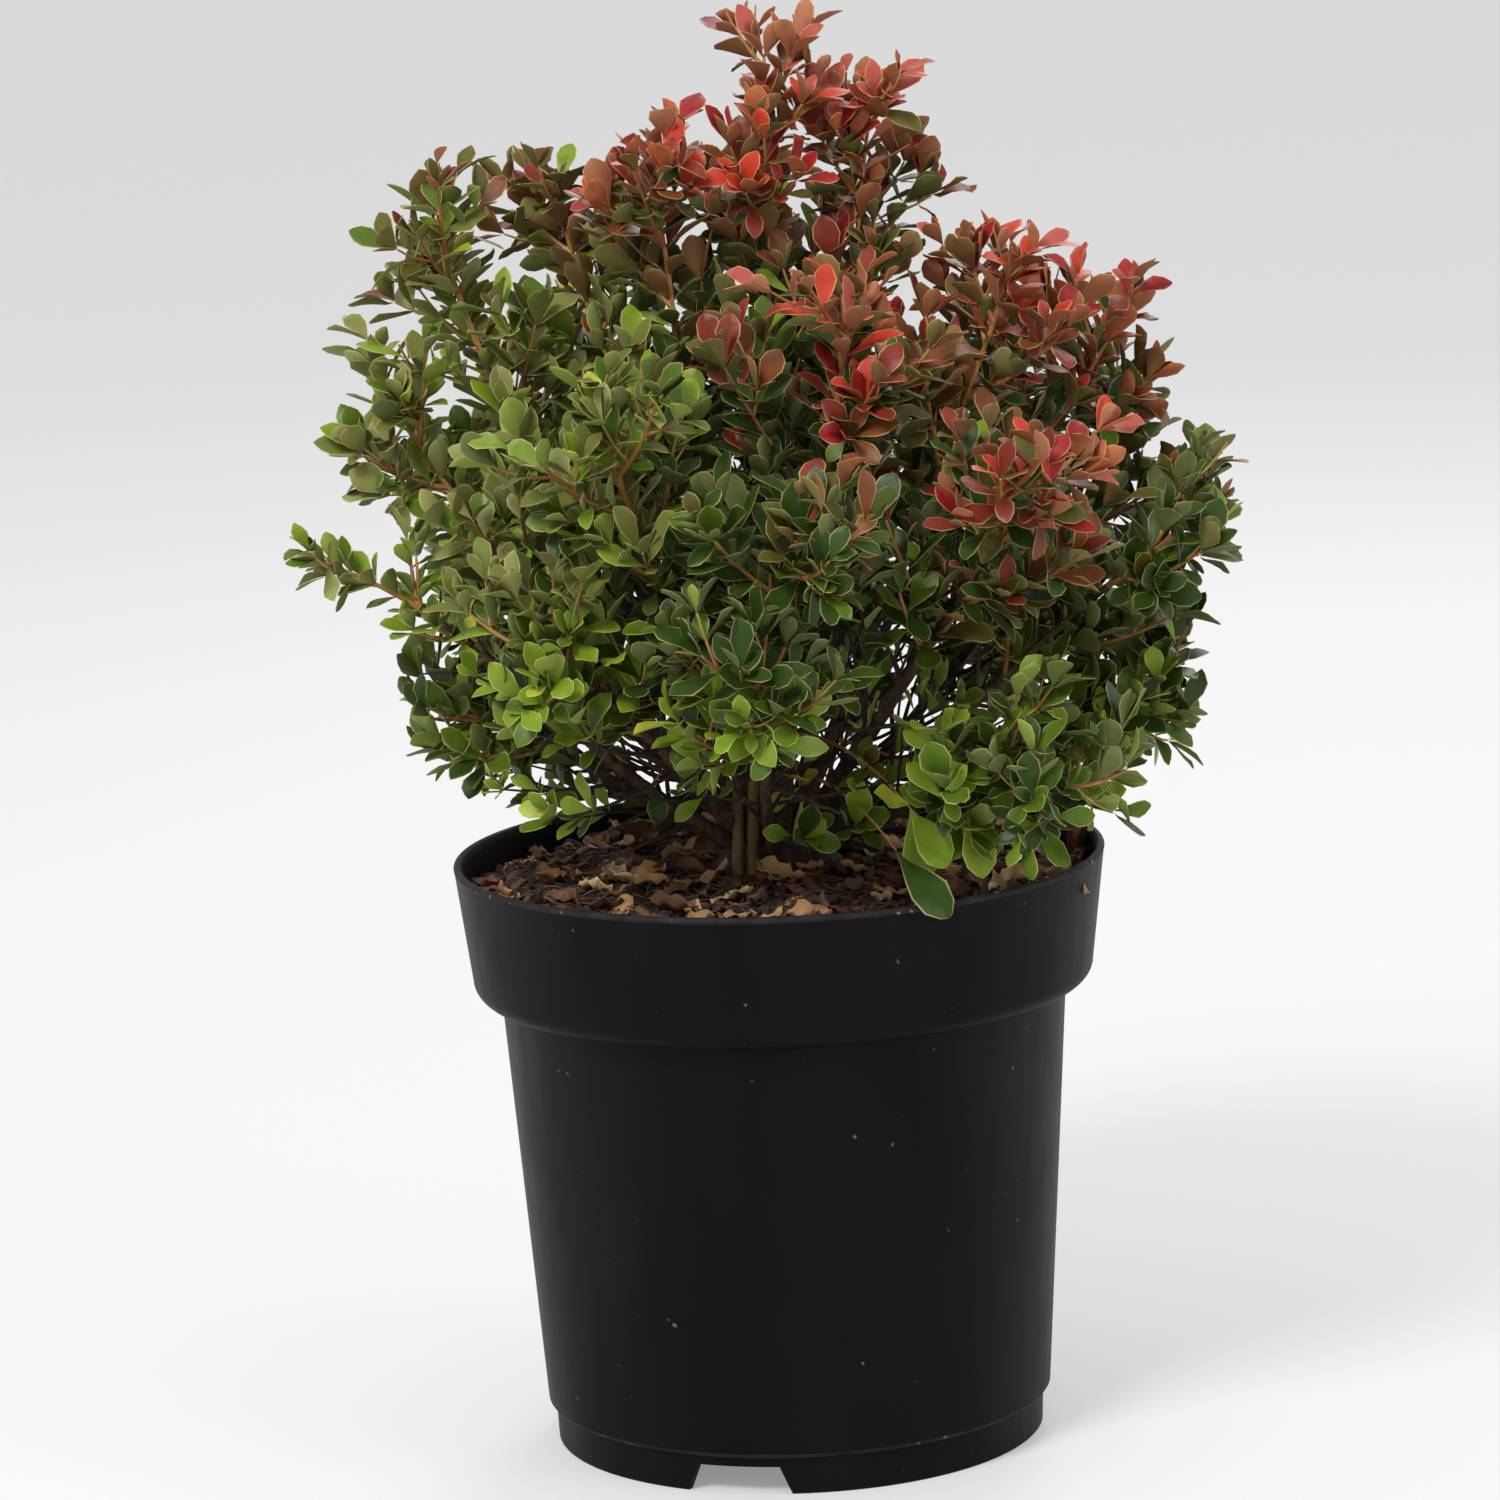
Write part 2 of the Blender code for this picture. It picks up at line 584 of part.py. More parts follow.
class Mass:
    """One foliage mass while it grows: its shoots, its leaves and what they must miss."""

    def __init__(self, limb, space, dice):
        self.limb = limb
        self.space = space
        self.dice = dice
        self.shoots = []
        self.blades = []
        self.trees = []

    def grow(self):
        """Leading shoot, side shoots, then leaves."""
        self.grow_leader()
        self.grow_side_shoots()
        self.add_tip_leaves()
        self.add_leaves(self.shoots[0], evenly(LEAVES_ON_LEADER, *LEAVES_ON_LEADER_PLACES))
        for shoot in self.shoots[1:]:
            self.add_leaves(shoot, evenly(LEAVES_ON_SIDE, *LEAVES_ON_SIDE_PLACES))

    def grow_leader(self):
        """The bough's curve goes on from 0.3 mm past its tip, nearly to the spray's tip."""
        handles = self.limb.handles
        step = 0.01
        pace = (limb_curve(handles, BOUGH_SHARE + step) - limb_curve(handles, BOUGH_SHARE)).length / step
        start = BOUGH_SHARE + GAP / pace
        end = 1.0 - TIP_LEAF_COVER * LEAF_LENGTH / pace
        shares = evenly(LEADER_STEPS, start, end)
        points = [limb_curve(handles, share) for share in shares]
        self.shoots.append(Tube(points, evenly(LEADER_STEPS, LEADER_FOOT_RADIUS, SHOOT_TIP_RADIUS)))

    def grow_side_shoots(self):
        """Side shoots wind round the leader, leave it at one angle and lift at their ends."""
        leader = self.shoots[0]
        turn = self.dice.uniform(0.0, math.tau)
        for place in evenly(SIDE_SHOOTS, *SIDE_PLACES):
            foot = along(leader.points, place)
            heading = (along(leader.points, place + 0.05) - foot).normalized()
            length = self.limb.spray.spread * MM * (SIDE_LONGEST - SIDE_SHORTENING * place)
            self.add_side_shoot(foot, heading, turn, length * self.dice.uniform(*SIZE_RANGE))
            turn += GOLDEN_ANGLE

    def add_side_shoot(self, foot, heading, turn, length):
        """Try a side shoot at its full length, then shorter, then turned on."""
        for extra, share in product(SIDE_TURNS, SIDE_SIZES):
            size = length * share
            side = turned_aside(heading, turn + extra, SIDE_ANGLE)
            middle = foot + side * (0.5 * size)
            tip = foot + side * size + Vector((0.0, 0.0, SIDE_LIFT * size))
            shares = evenly(SIDE_STEPS, 0.0, 1.0)
            points = [foot.lerp(middle, t).lerp(middle.lerp(tip, t), t) for t in shares]
            radii = evenly(SIDE_STEPS, SIDE_FOOT_RADIUS, SHOOT_TIP_RADIUS)
            if not self.space.holds(points[1:], SIDE_ROOM):
                continue
            if self.space.clears_boughs(points[1], points[2], SIDE_FOOT_RADIUS):
                self.shoots.append(Tube(points, radii))
                return

    def add_tip_leaves(self):
        """The leader ends in a rosette whose middle leaf reaches the spray's own tip."""
        leader = self.shoots[0]
        foot = along(leader.points, ROSETTE_PLACE)
        tip = self.limb.handles[3]
        heading = (tip - foot).normalized()
        face = turned_aside(heading, self.dice.uniform(0.0, math.tau), math.pi / 2)
        self.keep_blade(make_blade(foot, heading, face, (tip - foot).length, LEAF_HALF_WIDTH))
        for index in range(ROSETTE_LEAVES):
            place = ROSETTE_PLACE - ROSETTE_STEP * index
            self.try_blade(leader, place, ROSETTE_TURN * index, ROSETTE_LEAN)

    def add_leaves(self, shoot, places):
        """Leaves wind along a shoot, and the last one of a side shoot is its tip."""
        turn = self.dice.uniform(0.0, math.tau)
        for place in places:
            lean = LEAF_LAST_LEAN if place == 1.0 else LEAF_LEAN - LEAF_LEAN_LOST * place
            self.try_blade(shoot, min(place, LEAF_LAST_PLACE), turn, lean)
            turn += GOLDEN_ANGLE

    def try_blade(self, shoot, place, turn, lean):
        """Add a leaf, turned or shortened until it has room, or leave it out."""
        foot = along(shoot.points, place)
        heading = (along(shoot.points, place + 0.03) - along(shoot.points, place - 0.03)).normalized()
        size = LEAF_LENGTH * self.dice.uniform(*SIZE_RANGE)
        roll = self.dice.uniform(-LEAF_ROLL, LEAF_ROLL)
        for share, extra in product(LEAF_SIZES, LEAF_TURNS):
            way = turned_aside(heading, turn + extra, lean)
            length = size * share
            face = heading + way.cross(heading) * roll + Vector((0.0, 0.0, 0.5))
            blade = make_blade(foot, way, face, length, LEAF_HALF_WIDTH * length / LEAF_LENGTH)
            if self.has_room(blade, length):
                self.keep_blade(blade)
                return

    def has_room(self, blade, length):
        """Whether a leaf keeps to the mass's space and misses boughs, shoots and leaves."""
        if not self.space.holds(blade, SPACE_MARGIN):
            return False
        reach = LEAF_HALF_WIDTH * length / LEAF_LENGTH
        start = blade.root.lerp(blade.tip, 0.25)
        if not self.space.clears_boughs(start, blade.tip, 0.8 * reach):
            return False
        tree = blade_tree(blade, STALK_SHARE)
        return not any(tree.overlap(other) for other in self.trees)

    def keep_blade(self, blade):
        """Add a leaf for good."""
        self.blades.append(blade)
        self.trees.append(blade_tree(blade, 0.0))


def blade_tree(blade, skip):
    """A search tree of a leaf's faces, without the first part of its length."""
    shortened = blade._replace(root=blade.root.lerp(blade.tip, skip))
    vertices, faces = blade_mesh(shortened)
    return BVHTree.FromPolygons(vertices, faces)


def along(points, share):
    """Point at a share of the way along a line of points, or past its end."""
    spot = share * (len(points) - 1)
    index = min(max(int(spot), 0), len(points) - 2)
    return points[index] + (points[index + 1] - points[index]) * (spot - index)


def turned_aside(heading, turn, lean):
    """A direction that leans away from heading, turned round it."""
    side = heading.cross(Vector((0.0, 1.0, 0.12))).normalized()
    other = heading.cross(side)
    return heading * math.cos(lean) + (side * math.cos(turn) + other * math.sin(turn)) * math.sin(lean)


def leaf_colour(autumn):
    """Leaf colour from green to red."""
    green = (0.075, 0.135, 0.030)
    red = (0.300, 0.045, 0.030)
    return tuple(g + (r - g) * autumn for g, r in zip(green, red))


def build_bough(limb, material):
    """One tapering bough."""
    vertices, faces = tube_mesh(bough_tube(limb), BOUGH_SIDES)
    bough = add_object(f"bough_{limb.spray.name}", vertices, faces, material)
    shade_round(bough)
    return bough


def build_mass(mass):
    """Fuse the shoots and leaves of a foliage mass into one solid."""
    spray = mass.limb.spray
    material = make_material(f"leaves_{spray.name}", leaf_colour(spray.autumn), 0.5)
    vertices, faces = tube_mesh(mass.shoots[0], SHOOT_SIDES)
    made = add_object(f"foliage_{spray.name}", vertices, faces, material)
    pieces = new_collection(f"pieces_{spray.name}")
    for shoot in mass.shoots[1:]:
        add_object("shoot", *tube_mesh(shoot, SHOOT_SIDES), material, pieces)
    for blade in mass.blades:
        add_object("leaf", *blade_mesh(blade), material, pieces)
    fuse(made, pieces, "UNION")
    return made


def main():
    """Build every piece."""
    clear_scene()
    build_pot()
    build_soil()
    build_root_crown()
    bark = make_material("young_bark", (0.110, 0.062, 0.035), 0.8)
    limbs = plan_limbs()
    boughs = [bough_tube(limb) for limb in limbs]
    headings = [(limb_curve(limb.handles, SPACE_HEADING) - crown_centre()).normalized() for limb in limbs]
    for index, limb in enumerate(limbs):
        build_bough(limb, bark)
        mass = Mass(limb, Space(limb.spray, index, headings, boughs), random.Random(SEED + index))
        mass.grow()
        build_mass(mass)


main()
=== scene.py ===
"""Dress the potted barberry: bark, twigs, leaves, potting soil, litter and the pot itself.

Units are metres and +Z is up. The origin is the centre of the pot's underside. +X is to
the right of the plant and +Y is behind it. The limbs and shoots follow the model's own
rule of growth, which Shrub repeats and carries on to finer twigs and to life-size leaves.
"""

import logging
import math
import random
from dataclasses import dataclass, field
from enum import Enum
from itertools import product

import bpy
import numpy as np
from mathutils import Matrix, Vector

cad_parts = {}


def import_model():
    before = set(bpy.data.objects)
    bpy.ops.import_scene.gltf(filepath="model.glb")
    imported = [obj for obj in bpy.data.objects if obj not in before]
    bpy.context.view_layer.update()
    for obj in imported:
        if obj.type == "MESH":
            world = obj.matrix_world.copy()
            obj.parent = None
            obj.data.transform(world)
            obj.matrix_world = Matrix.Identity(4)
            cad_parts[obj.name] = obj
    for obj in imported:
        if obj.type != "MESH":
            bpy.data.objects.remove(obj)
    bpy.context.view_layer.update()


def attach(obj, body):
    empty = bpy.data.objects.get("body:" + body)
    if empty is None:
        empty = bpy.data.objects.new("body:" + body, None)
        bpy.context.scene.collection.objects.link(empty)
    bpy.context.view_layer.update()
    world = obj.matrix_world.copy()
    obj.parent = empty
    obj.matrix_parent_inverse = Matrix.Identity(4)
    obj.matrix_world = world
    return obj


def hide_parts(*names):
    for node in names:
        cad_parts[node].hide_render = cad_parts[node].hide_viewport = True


MM = 0.001
BODY = "root"
GOLDEN_ANGLE = math.radians(137.5)

Array = np.ndarray
Colour = tuple[float, float, float]
log = logging.getLogger("barberry")


def srgb(red: int, green: int, blue: int) -> Colour:
    """Turn a colour of 0 to 255 a channel into linear light."""
    return tuple(
        v / 12.92 if v <= 0.04045 else ((v + 0.055) / 1.055) ** 2.4
        for v in (red / 255, green / 255, blue / 255)
    )


def blend_colours(first: Colour, second: Colour, share: float) -> Colour:
    """Mix two colours: first * (1 - share) + second * share."""
    return tuple(a + (b - a) * share for a, b in zip(first, second))


def unit(vectors: Array) -> Array:
    """Scale vectors to length 1."""
    return vectors / np.maximum(np.linalg.norm(vectors, axis=-1, keepdims=True), 1e-12)


def lattice_noise(points: Array, size: float, seed: float) -> Array:
    """Smooth noise from -1 to 1.

    Each corner of a cubic lattice gets a number, the fraction of a large sine of its
    place, and a point takes the smoothstep-weighted mean of its cell's eight corners.

    Args:
        points: Places, with X, Y and Z in the last axis.
        size: Edge of one lattice cell.
        seed: Shifts the numbers.

    Returns:
        One value for each point.
    """
    spots = points / size
    cells = np.floor(spots)
    part = spots - cells
    part = part * part * (3.0 - 2.0 * part)
    total = np.zeros(points.shape[:-1])
    for corner in product((0.0, 1.0), repeat=3):
        step = np.array(corner)
        value = np.sin((cells + step) @ np.array((127.1, 311.7, 74.7)) + seed) * 43758.5453
        weight = np.prod(np.where(step > 0.5, part, 1.0 - part), axis=-1)
        total += weight * (value - np.floor(value))
    return total * 2.0 - 1.0


def layered_noise(points: Array, size: float, seed: float, layers: int = 3) -> Array:
    """Sum of lattice noises, each half the size and half the height of the one before."""
    total = np.zeros(points.shape[:-1])
    for layer in range(layers):
        total += lattice_noise(points, size / 2**layer, seed + 13.7 * layer) / 2**layer
    return total


def bezier(handles: Array, t: Array) -> Array:
    """Points on cubic curves: a s^3 + 3 b s^2 t + 3 c s t^2 + d t^3, with s = 1 - t.

    Args:
        handles: Four points of each curve, shape (n, 4, 3).
        t: Places from 0 to 1, shape (k,) or (n, k).

    Returns:
        Points of shape (n, k, 3).
    """
    t = np.broadcast_to(t, (len(handles), np.shape(t)[-1]))[..., None]
    s = 1.0 - t
    a, b, c, d = (handles[:, None, i] for i in range(4))
    return a * s**3 + b * (3 * s * s * t) + c * (3 * s * t * t) + d * t**3


def make_object(
    name: str,
    vertices: Array,
    faces: list[list[int]],
    materials: list[bpy.types.Material],
    indices: Array | None = None,
    sharp: float = 40.0,
) -> bpy.types.Object:
    """Put points and faces into a new mesh object that rides on the plant's body.

    Args:
        name: The piece's name.
        vertices: Points, shape (n, 3).
        faces: Corner numbers of each face.
        materials: The piece's material slots.
        indices: Slot number of each face, or None for the first slot.
        sharp: Edges that turn by more degrees than this stay sharp.

    Returns:
        The object.
    """
    mesh = bpy.data.meshes.new(name)
    mesh.from_pydata(vertices.reshape(-1, 3).tolist(), [], faces)
    for material in materials:
        mesh.materials.append(material)
    if indices is not None:
        mesh.polygons.foreach_set("material_index", indices.astype(np.int32))
    mesh.shade_smooth()
    mesh.set_sharp_from_angle(angle=math.radians(sharp))
    piece = bpy.data.objects.new(name, mesh)
    bpy.context.scene.collection.objects.link(piece)
    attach(piece, BODY)
    triangles = sum(len(face) - 2 for face in faces)
    log.info("%s: %d triangles", name, triangles)
    return piece


def repeat_faces(pattern: Array, copies: int, stride: int) -> Array:
    """Shift a pattern of corner numbers for each copy of a shape.

    Args:
        pattern: Corner numbers of one shape's faces, shape (faces, corners).
        copies: How many shapes there are.
        stride: Points in one shape.

    Returns:
        Corner numbers of all faces, shape (copies * faces, corners).
    """
    shift = np.arange(copies)[:, None, None] * stride
    return (pattern[None] + shift).reshape(-1, pattern.shape[1])


def tube_points(paths: Array, radii: Array, sides: int, relief: Array | None = None) -> Array:
    """Round tubes along many paths at once.

    Point = path + radius * (1 + relief) * (side * cos a + other * sin a), where side and
    other stand square to the path and a goes round it. The last two points of a tube
    are its ends' centres.

    Args:
        paths: Centre lines, shape (n, k, 3).
        radii: Radius at each point of the lines, shape (n, k).
        sides: Points round the tube.
        relief: Share by which each point stands proud, shape (n, k, sides), or None.

    Returns:
        Points of shape (n, k * sides + 2, 3).
    """
    heading = unit(np.gradient(paths, axis=1))
    least = np.argmin(np.abs(heading.mean(axis=1)), axis=1)
    side = unit(np.cross(heading, np.eye(3)[least][:, None]))
    other = np.cross(heading, side)
    angle = math.tau * np.arange(sides) / sides
    ring = side[:, :, None] * np.cos(angle)[:, None] + other[:, :, None] * np.sin(angle)[:, None]
    reach = radii[:, :, None] * (1.0 + (0.0 if relief is None else relief))
    shell = paths[:, :, None] + ring * np.broadcast_to(reach, ring.shape[:3])[..., None]
    shell = shell.reshape(len(paths), -1, 3)
    return np.concatenate((shell, paths[:, :1], paths[:, -1:]), axis=1)


def tube_faces(copies: int, steps: int, sides: int) -> list[list[int]]:
    """Faces of tube_points: quads along each tube and a fan of triangles at each end."""
    a = np.arange(sides)
    b = (a + 1) % sides
    low = np.arange(steps - 1)[:, None] * sides
    quads = np.stack((low + a, low + b, low + sides + b, low + sides + a), axis=-1).reshape(-1, 4)
    start = np.full(sides, steps * sides)
    last = (steps - 1) * sides
    fans = np.concatenate(
        (np.stack((start, b, a), axis=-1), np.stack((start + 1, last + a, last + b), axis=-1))
    )
    stride = steps * sides + 2
    return repeat_faces(quads, copies, stride).tolist() + repeat_faces(fans, copies, stride).tolist()


def grid_faces(rows: int, columns: int, closed: bool = True) -> Array:
    """Quads of a grid of points whose columns go round, or not, and whose rows go up."""
    a = np.arange(columns if closed else columns - 1)
    b = (a + 1) % columns
    low = np.arange(rows - 1)[:, None] * columns
    return np.stack((low + a, low + b, low + columns + b, low + columns + a), axis=-1).reshape(-1, 4)


class Shades:
    """Shader node groups that more than one finish uses, each built once."""

    def __init__(self) -> None:
        """Build the groups."""
        self.mottle = self.build_mottle()
        self.flecks = self.build_flecks()

    @staticmethod
    def start_group(name: str, inputs: dict[str, float], outputs: tuple[str, ...]):
        """Make an empty group with a place to read Object coordinates.

        Args:
            name: The group's name.
            inputs: Names and defaults of its number inputs.
            outputs: Names of its number outputs.

        Returns:
            The group, its input node, its output node and its coordinate node.
        """
        group = bpy.data.node_groups.new(name, "ShaderNodeTree")
        for label, value in inputs.items():
            socket = group.interface.new_socket(label, in_out="INPUT", socket_type="NodeSocketFloat")
            socket.default_value = value
        for label in outputs:
            group.interface.new_socket(label, in_out="OUTPUT", socket_type="NodeSocketFloat")
        entry = group.nodes.new("NodeGroupInput")
        leave = group.nodes.new("NodeGroupOutput")
        place = group.nodes.new("ShaderNodeTexCoord")
        return group, entry, leave, place

    def build_mottle(self) -> bpy.types.NodeTree:
        """Soft patches, stretched along Z by Stretch, as a mask and a fine height."""
        group, entry, leave, place = self.start_group(
            "mottle", {"Scale": 100.0, "Stretch": 1.0, "Detail": 3.0}, ("Mask", "Height")
        )
        mapping = group.nodes.new("ShaderNodeMapping")
        join = group.nodes.new("ShaderNodeCombineXYZ")
        patches = group.nodes.new("ShaderNodeTexNoise")
        grain = group.nodes.new("ShaderNodeTexNoise")
        finer = group.nodes.new("ShaderNodeMath")
        finer.operation = "MULTIPLY"
        finer.inputs[1].default_value = 4.7
        join.inputs["X"].default_value = 1.0
        join.inputs["Y"].default_value = 1.0
        links = group.links
        links.new(entry.outputs["Stretch"], join.inputs["Z"])
        links.new(place.outputs["Object"], mapping.inputs["Vector"])
        links.new(join.outputs["Vector"], mapping.inputs["Scale"])
        for noise in (patches, grain):
            links.new(mapping.outputs["Vector"], noise.inputs["Vector"])
            links.new(entry.outputs["Detail"], noise.inputs["Detail"])
        links.new(entry.outputs["Scale"], patches.inputs["Scale"])
        links.new(entry.outputs["Scale"], finer.inputs[0])
        links.new(finer.outputs[0], grain.inputs["Scale"])
        links.new(patches.outputs["Fac"], leave.inputs["Mask"])
        links.new(grain.outputs["Fac"], leave.inputs["Height"])
        return group

    def build_flecks(self) -> bpy.types.NodeTree:
        """Sparse small spots: where a fine noise passes a threshold."""
        group, entry, leave, place = self.start_group("flecks", {"Scale": 300.0, "Least": 0.72}, ("Mask",))
        noise = group.nodes.new("ShaderNodeTexNoise")
        noise.inputs["Detail"].default_value = 1.0
        over = group.nodes.new("ShaderNodeMath")
        over.operation = "SUBTRACT"
        steep = group.nodes.new("ShaderNodeMath")
        steep.operation = "MULTIPLY"
        steep.use_clamp = True
        steep.inputs[1].default_value = 14.0
        links = group.links
        links.new(place.outputs["Object"], noise.inputs["Vector"])
        links.new(entry.outputs["Scale"], noise.inputs["Scale"])
        links.new(noise.outputs["Fac"], over.inputs[0])
        links.new(entry.outputs["Least"], over.inputs[1])
        links.new(over.outputs[0], steep.inputs[0])
        links.new(steep.outputs[0], leave.inputs["Mask"])
        return group


@dataclass(frozen=True)
class Finish:
    """A surface's finish: two colours in soft patches, with its gloss and its grain."""

    name: str
    colour: Colour
    patch: Colour
    roughness: float = 0.6
    rough_swing: float = 0.1
    scale: float = 120.0
    stretch: float = 1.0
    bump: float = 0.2
    bump_depth: float = 0.3 * MM
    specular: float = 0.5
    fleck: Colour | None = None
    fleck_scale: float = 260.0
    fleck_least: float = 0.74

    def build(self, shades: Shades) -> bpy.types.Material:
        """Make the material.

        Args:
            shades: The shared shader groups.

        Returns:
            A material whose colour, roughness and bump follow Object coordinates.
        """
        material = bpy.data.materials.new(self.name)
        material.use_nodes = True
        nodes = material.node_tree.nodes
        links = material.node_tree.links
        shader = nodes["Principled BSDF"]
        shader.inputs["Specular IOR Level"].default_value = self.specular
        mottle = nodes.new("ShaderNodeGroup")
        mottle.node_tree = shades.mottle
        mottle.inputs["Scale"].default_value = self.scale
        mottle.inputs["Stretch"].default_value = self.stretch
        colour = self.mix(nodes, self.colour, self.patch)
        contrast = nodes.new("ShaderNodeMapRange")
        contrast.inputs["From Min"].default_value = 0.35
        contrast.inputs["From Max"].default_value = 0.65
        links.new(mottle.outputs["Mask"], contrast.inputs["Value"])
        links.new(contrast.outputs["Result"], colour.inputs["Factor"])
        last = colour.outputs[2]
        if self.fleck is not None:
            flecks = nodes.new("ShaderNodeGroup")
            flecks.node_tree = shades.flecks
            flecks.inputs["Scale"].default_value = self.fleck_scale
            flecks.inputs["Least"].default_value = self.fleck_least
            over = self.mix(nodes, self.fleck, self.fleck)
            links.new(last, over.inputs[6])
            links.new(flecks.outputs["Mask"], over.inputs["Factor"])
            last = over.outputs[2]
        links.new(last, shader.inputs["Base Color"])
        rough = nodes.new("ShaderNodeMapRange")
        rough.inputs["To Min"].default_value = self.roughness - self.rough_swing
        rough.inputs["To Max"].default_value = self.roughness + self.rough_swing
        links.new(mottle.outputs["Height"], rough.inputs["Value"])
        links.new(rough.outputs["Result"], shader.inputs["Roughness"])
        bump = nodes.new("ShaderNodeBump")
        bump.inputs["Strength"].default_value = self.bump
        bump.inputs["Distance"].default_value = self.bump_depth
        links.new(mottle.outputs["Height"], bump.inputs["Height"])
        links.new(bump.outputs["Normal"], shader.inputs["Normal"])
        return material

    @staticmethod
    def mix(nodes: bpy.types.Nodes, first: Colour, second: Colour) -> bpy.types.Node:
        """Make a colour mix node that holds two colours."""
        node = nodes.new("ShaderNodeMix")
        node.data_type = "RGBA"
        node.inputs[6].default_value = (*first, 1.0)
        node.inputs[7].default_value = (*second, 1.0)
        return node


class Tint(Enum):
    """Colours of the leaves' upper sides, from summer green to autumn red. The greens are leaf colours that deal_tints
    also deals by place as painted shade and light.
    """

    DEEP_GREEN = srgb(42, 64, 14)
    MID_GREEN = srgb(76, 100, 22)
    FRESH_GREEN = srgb(112, 136, 34)
    YELLOW_GREEN = srgb(156, 166, 48)
    OLIVE = srgb(104, 108, 48)
    SAGE = srgb(132, 134, 76)
    BRONZE_GREEN = srgb(84, 78, 26)
    BRONZE = srgb(112, 62, 30)
    BROWN_RED = srgb(116, 42, 27)
    CRIMSON = srgb(140, 32, 31)
    SCARLET = srgb(176, 56, 36)
    ROSE = srgb(164, 78, 64)


# Greens from darkest to palest. deal_tints picks among them by painted shade and light: darker low and in the crown's
# middle and right, paler high up.
GREENS = (Tint.DEEP_GREEN, Tint.MID_GREEN, Tint.FRESH_GREEN, Tint.YELLOW_GREEN)
TURNED = (Tint.BRONZE_GREEN, Tint.BRONZE, Tint.BROWN_RED, Tint.CRIMSON, Tint.SCARLET, Tint.ROSE)


@dataclass(frozen=True)
class LeafFinish:
    """The three finishes of a leaf: its upper side, its paler underside and its edge."""

    tint: Tint
    underside: Colour = srgb(152, 150, 96)
    straw: Colour = srgb(206, 186, 112)

    def build(self, shades: Shades) -> list[bpy.types.Material]:
        """Make the materials of the upper side, the underside and the edge."""
        top = self.tint.value
        name = self.tint.name.lower()
        under = blend_colours(top, self.underside, 0.34)
        edge = blend_colours(top, self.straw, 0.36)
        return [
            Finish(f"leaf_{name}", top, blend_colours(top, (0.0, 0.0, 0.0), 0.22), 0.42, 0.08, 160.0,
                   bump=0.25, bump_depth=0.2 * MM, specular=0.22).build(shades),
            Finish(f"leaf_{name}_under", under, blend_colours(under, top, 0.3), 0.62, 0.06, 160.0,
                   bump=0.3, bump_depth=0.2 * MM, specular=0.2).build(shades),
            Finish(f"leaf_{name}_edge", edge, blend_colours(edge, top, 0.3), 0.55, 0.06, 160.0).build(shades),
        ]


@dataclass(frozen=True)
class Spray:
    """One foliage mass: where its tip is, how it grows and how far it has turned red."""

    name: str
    bearing: float
    reach: float
    height: float
    rise: float
    spread: float
    autumn: float


SPRAYS = (
    Spray("spire", 0, 6, 485, 88, 32, 0.9),
    Spray("crest_right", 12, 44, 463, 78, 40, 0.8),
    Spray("crest_left", 196, 37, 450, 80, 36, 0.7),
    Spray("crest_back", 90, 66, 430, 76, 42, 0.6),
    Spray("crest_front", 291, 86, 400, 68, 44, 0.8),
    Spray("left_tall", 180, 110, 436, 78, 34, 0.35),
    Spray("left_second", 152, 78, 434, 78, 36, 0.35),
    Spray("right_high", 346, 92, 408, 68, 42, 0.9),
    Spray("right_shoulder", 8, 131, 388, 58, 40, 0.7),
    Spray("left_flank", 189, 133, 381, 66, 34, 0.0),
    Spray("front_left", 242, 120, 374, 58, 44, 0.1),
    Spray("front_middle", 274, 142, 336, 40, 42, 0.3),
    Spray("front_right", 309, 146, 350, 50, 44, 0.7),
    Spray("back_left", 130, 130, 376, 58, 44, 0.2),
    Spray("back_middle", 87, 138, 346, 48, 46, 0.4),
    Spray("back_right", 47, 134, 370, 58, 44, 0.5),
    Spray("right_flank", 354, 157, 318, 30, 42, 0.3),
    Spray("right_rear", 23, 150, 338, 42, 42, 0.4),
    Spray("left_rear", 156, 128, 330, 40, 42, 0.1),
    Spray("left_runner", 197, 167, 317, 16, 18, 0.0),
    Spray("right_skirt", 2, 142, 252, 6, 44, 0.0),
    Spray("back_right_skirt", 42, 146, 276, 12, 44, 0.0),
    Spray("back_skirt", 88, 144, 262, 8, 44, 0.0),
    Spray("back_left_skirt", 138, 142, 272, 12, 44, 0.0),
    Spray("left_skirt", 186, 120, 258, 12, 38, 0.0),
    Spray("front_left_skirt", 232, 136, 294, 18, 42, 0.0),
    Spray("front_skirt", 268, 144, 284, 10, 42, 0.0),
    Spray("front_right_skirt", 314, 146, 236, -6, 44, 0.0),
)


@dataclass(frozen=True)
class LooseLeaf:
    """A leaf that the photograph shows apart from the rest, with its foot and tip in mm."""

    foot: tuple[float, float, float]
    tip: tuple[float, float, float]
    tint: Tint


LOOSE_LEAVES = (
    LooseLeaf((38, -88, 217), (54, -106, 197), Tint.DEEP_GREEN),
    LooseLeaf((-41, -34, 232), (-39, -38, 219), Tint.DEEP_GREEN),
    LooseLeaf((8, -30, 228), (-3, -33, 221), Tint.YELLOW_GREEN),
    LooseLeaf((8, -30, 228), (14, -33, 234), Tint.YELLOW_GREEN),
    LooseLeaf((43, -82, 230), (48, -87, 206), Tint.FRESH_GREEN),
    LooseLeaf((43, -82, 230), (54, -88, 210), Tint.FRESH_GREEN),
    LooseLeaf((43, -82, 230), (30, -90, 236), Tint.YELLOW_GREEN),
    LooseLeaf((62, -80, 229), (66, -86, 206), Tint.FRESH_GREEN),
    LooseLeaf((62, -80, 229), (70, -86, 212), Tint.MID_GREEN),
    LooseLeaf((-24, -40, 228), (-34, -44, 221), Tint.FRESH_GREEN),
)


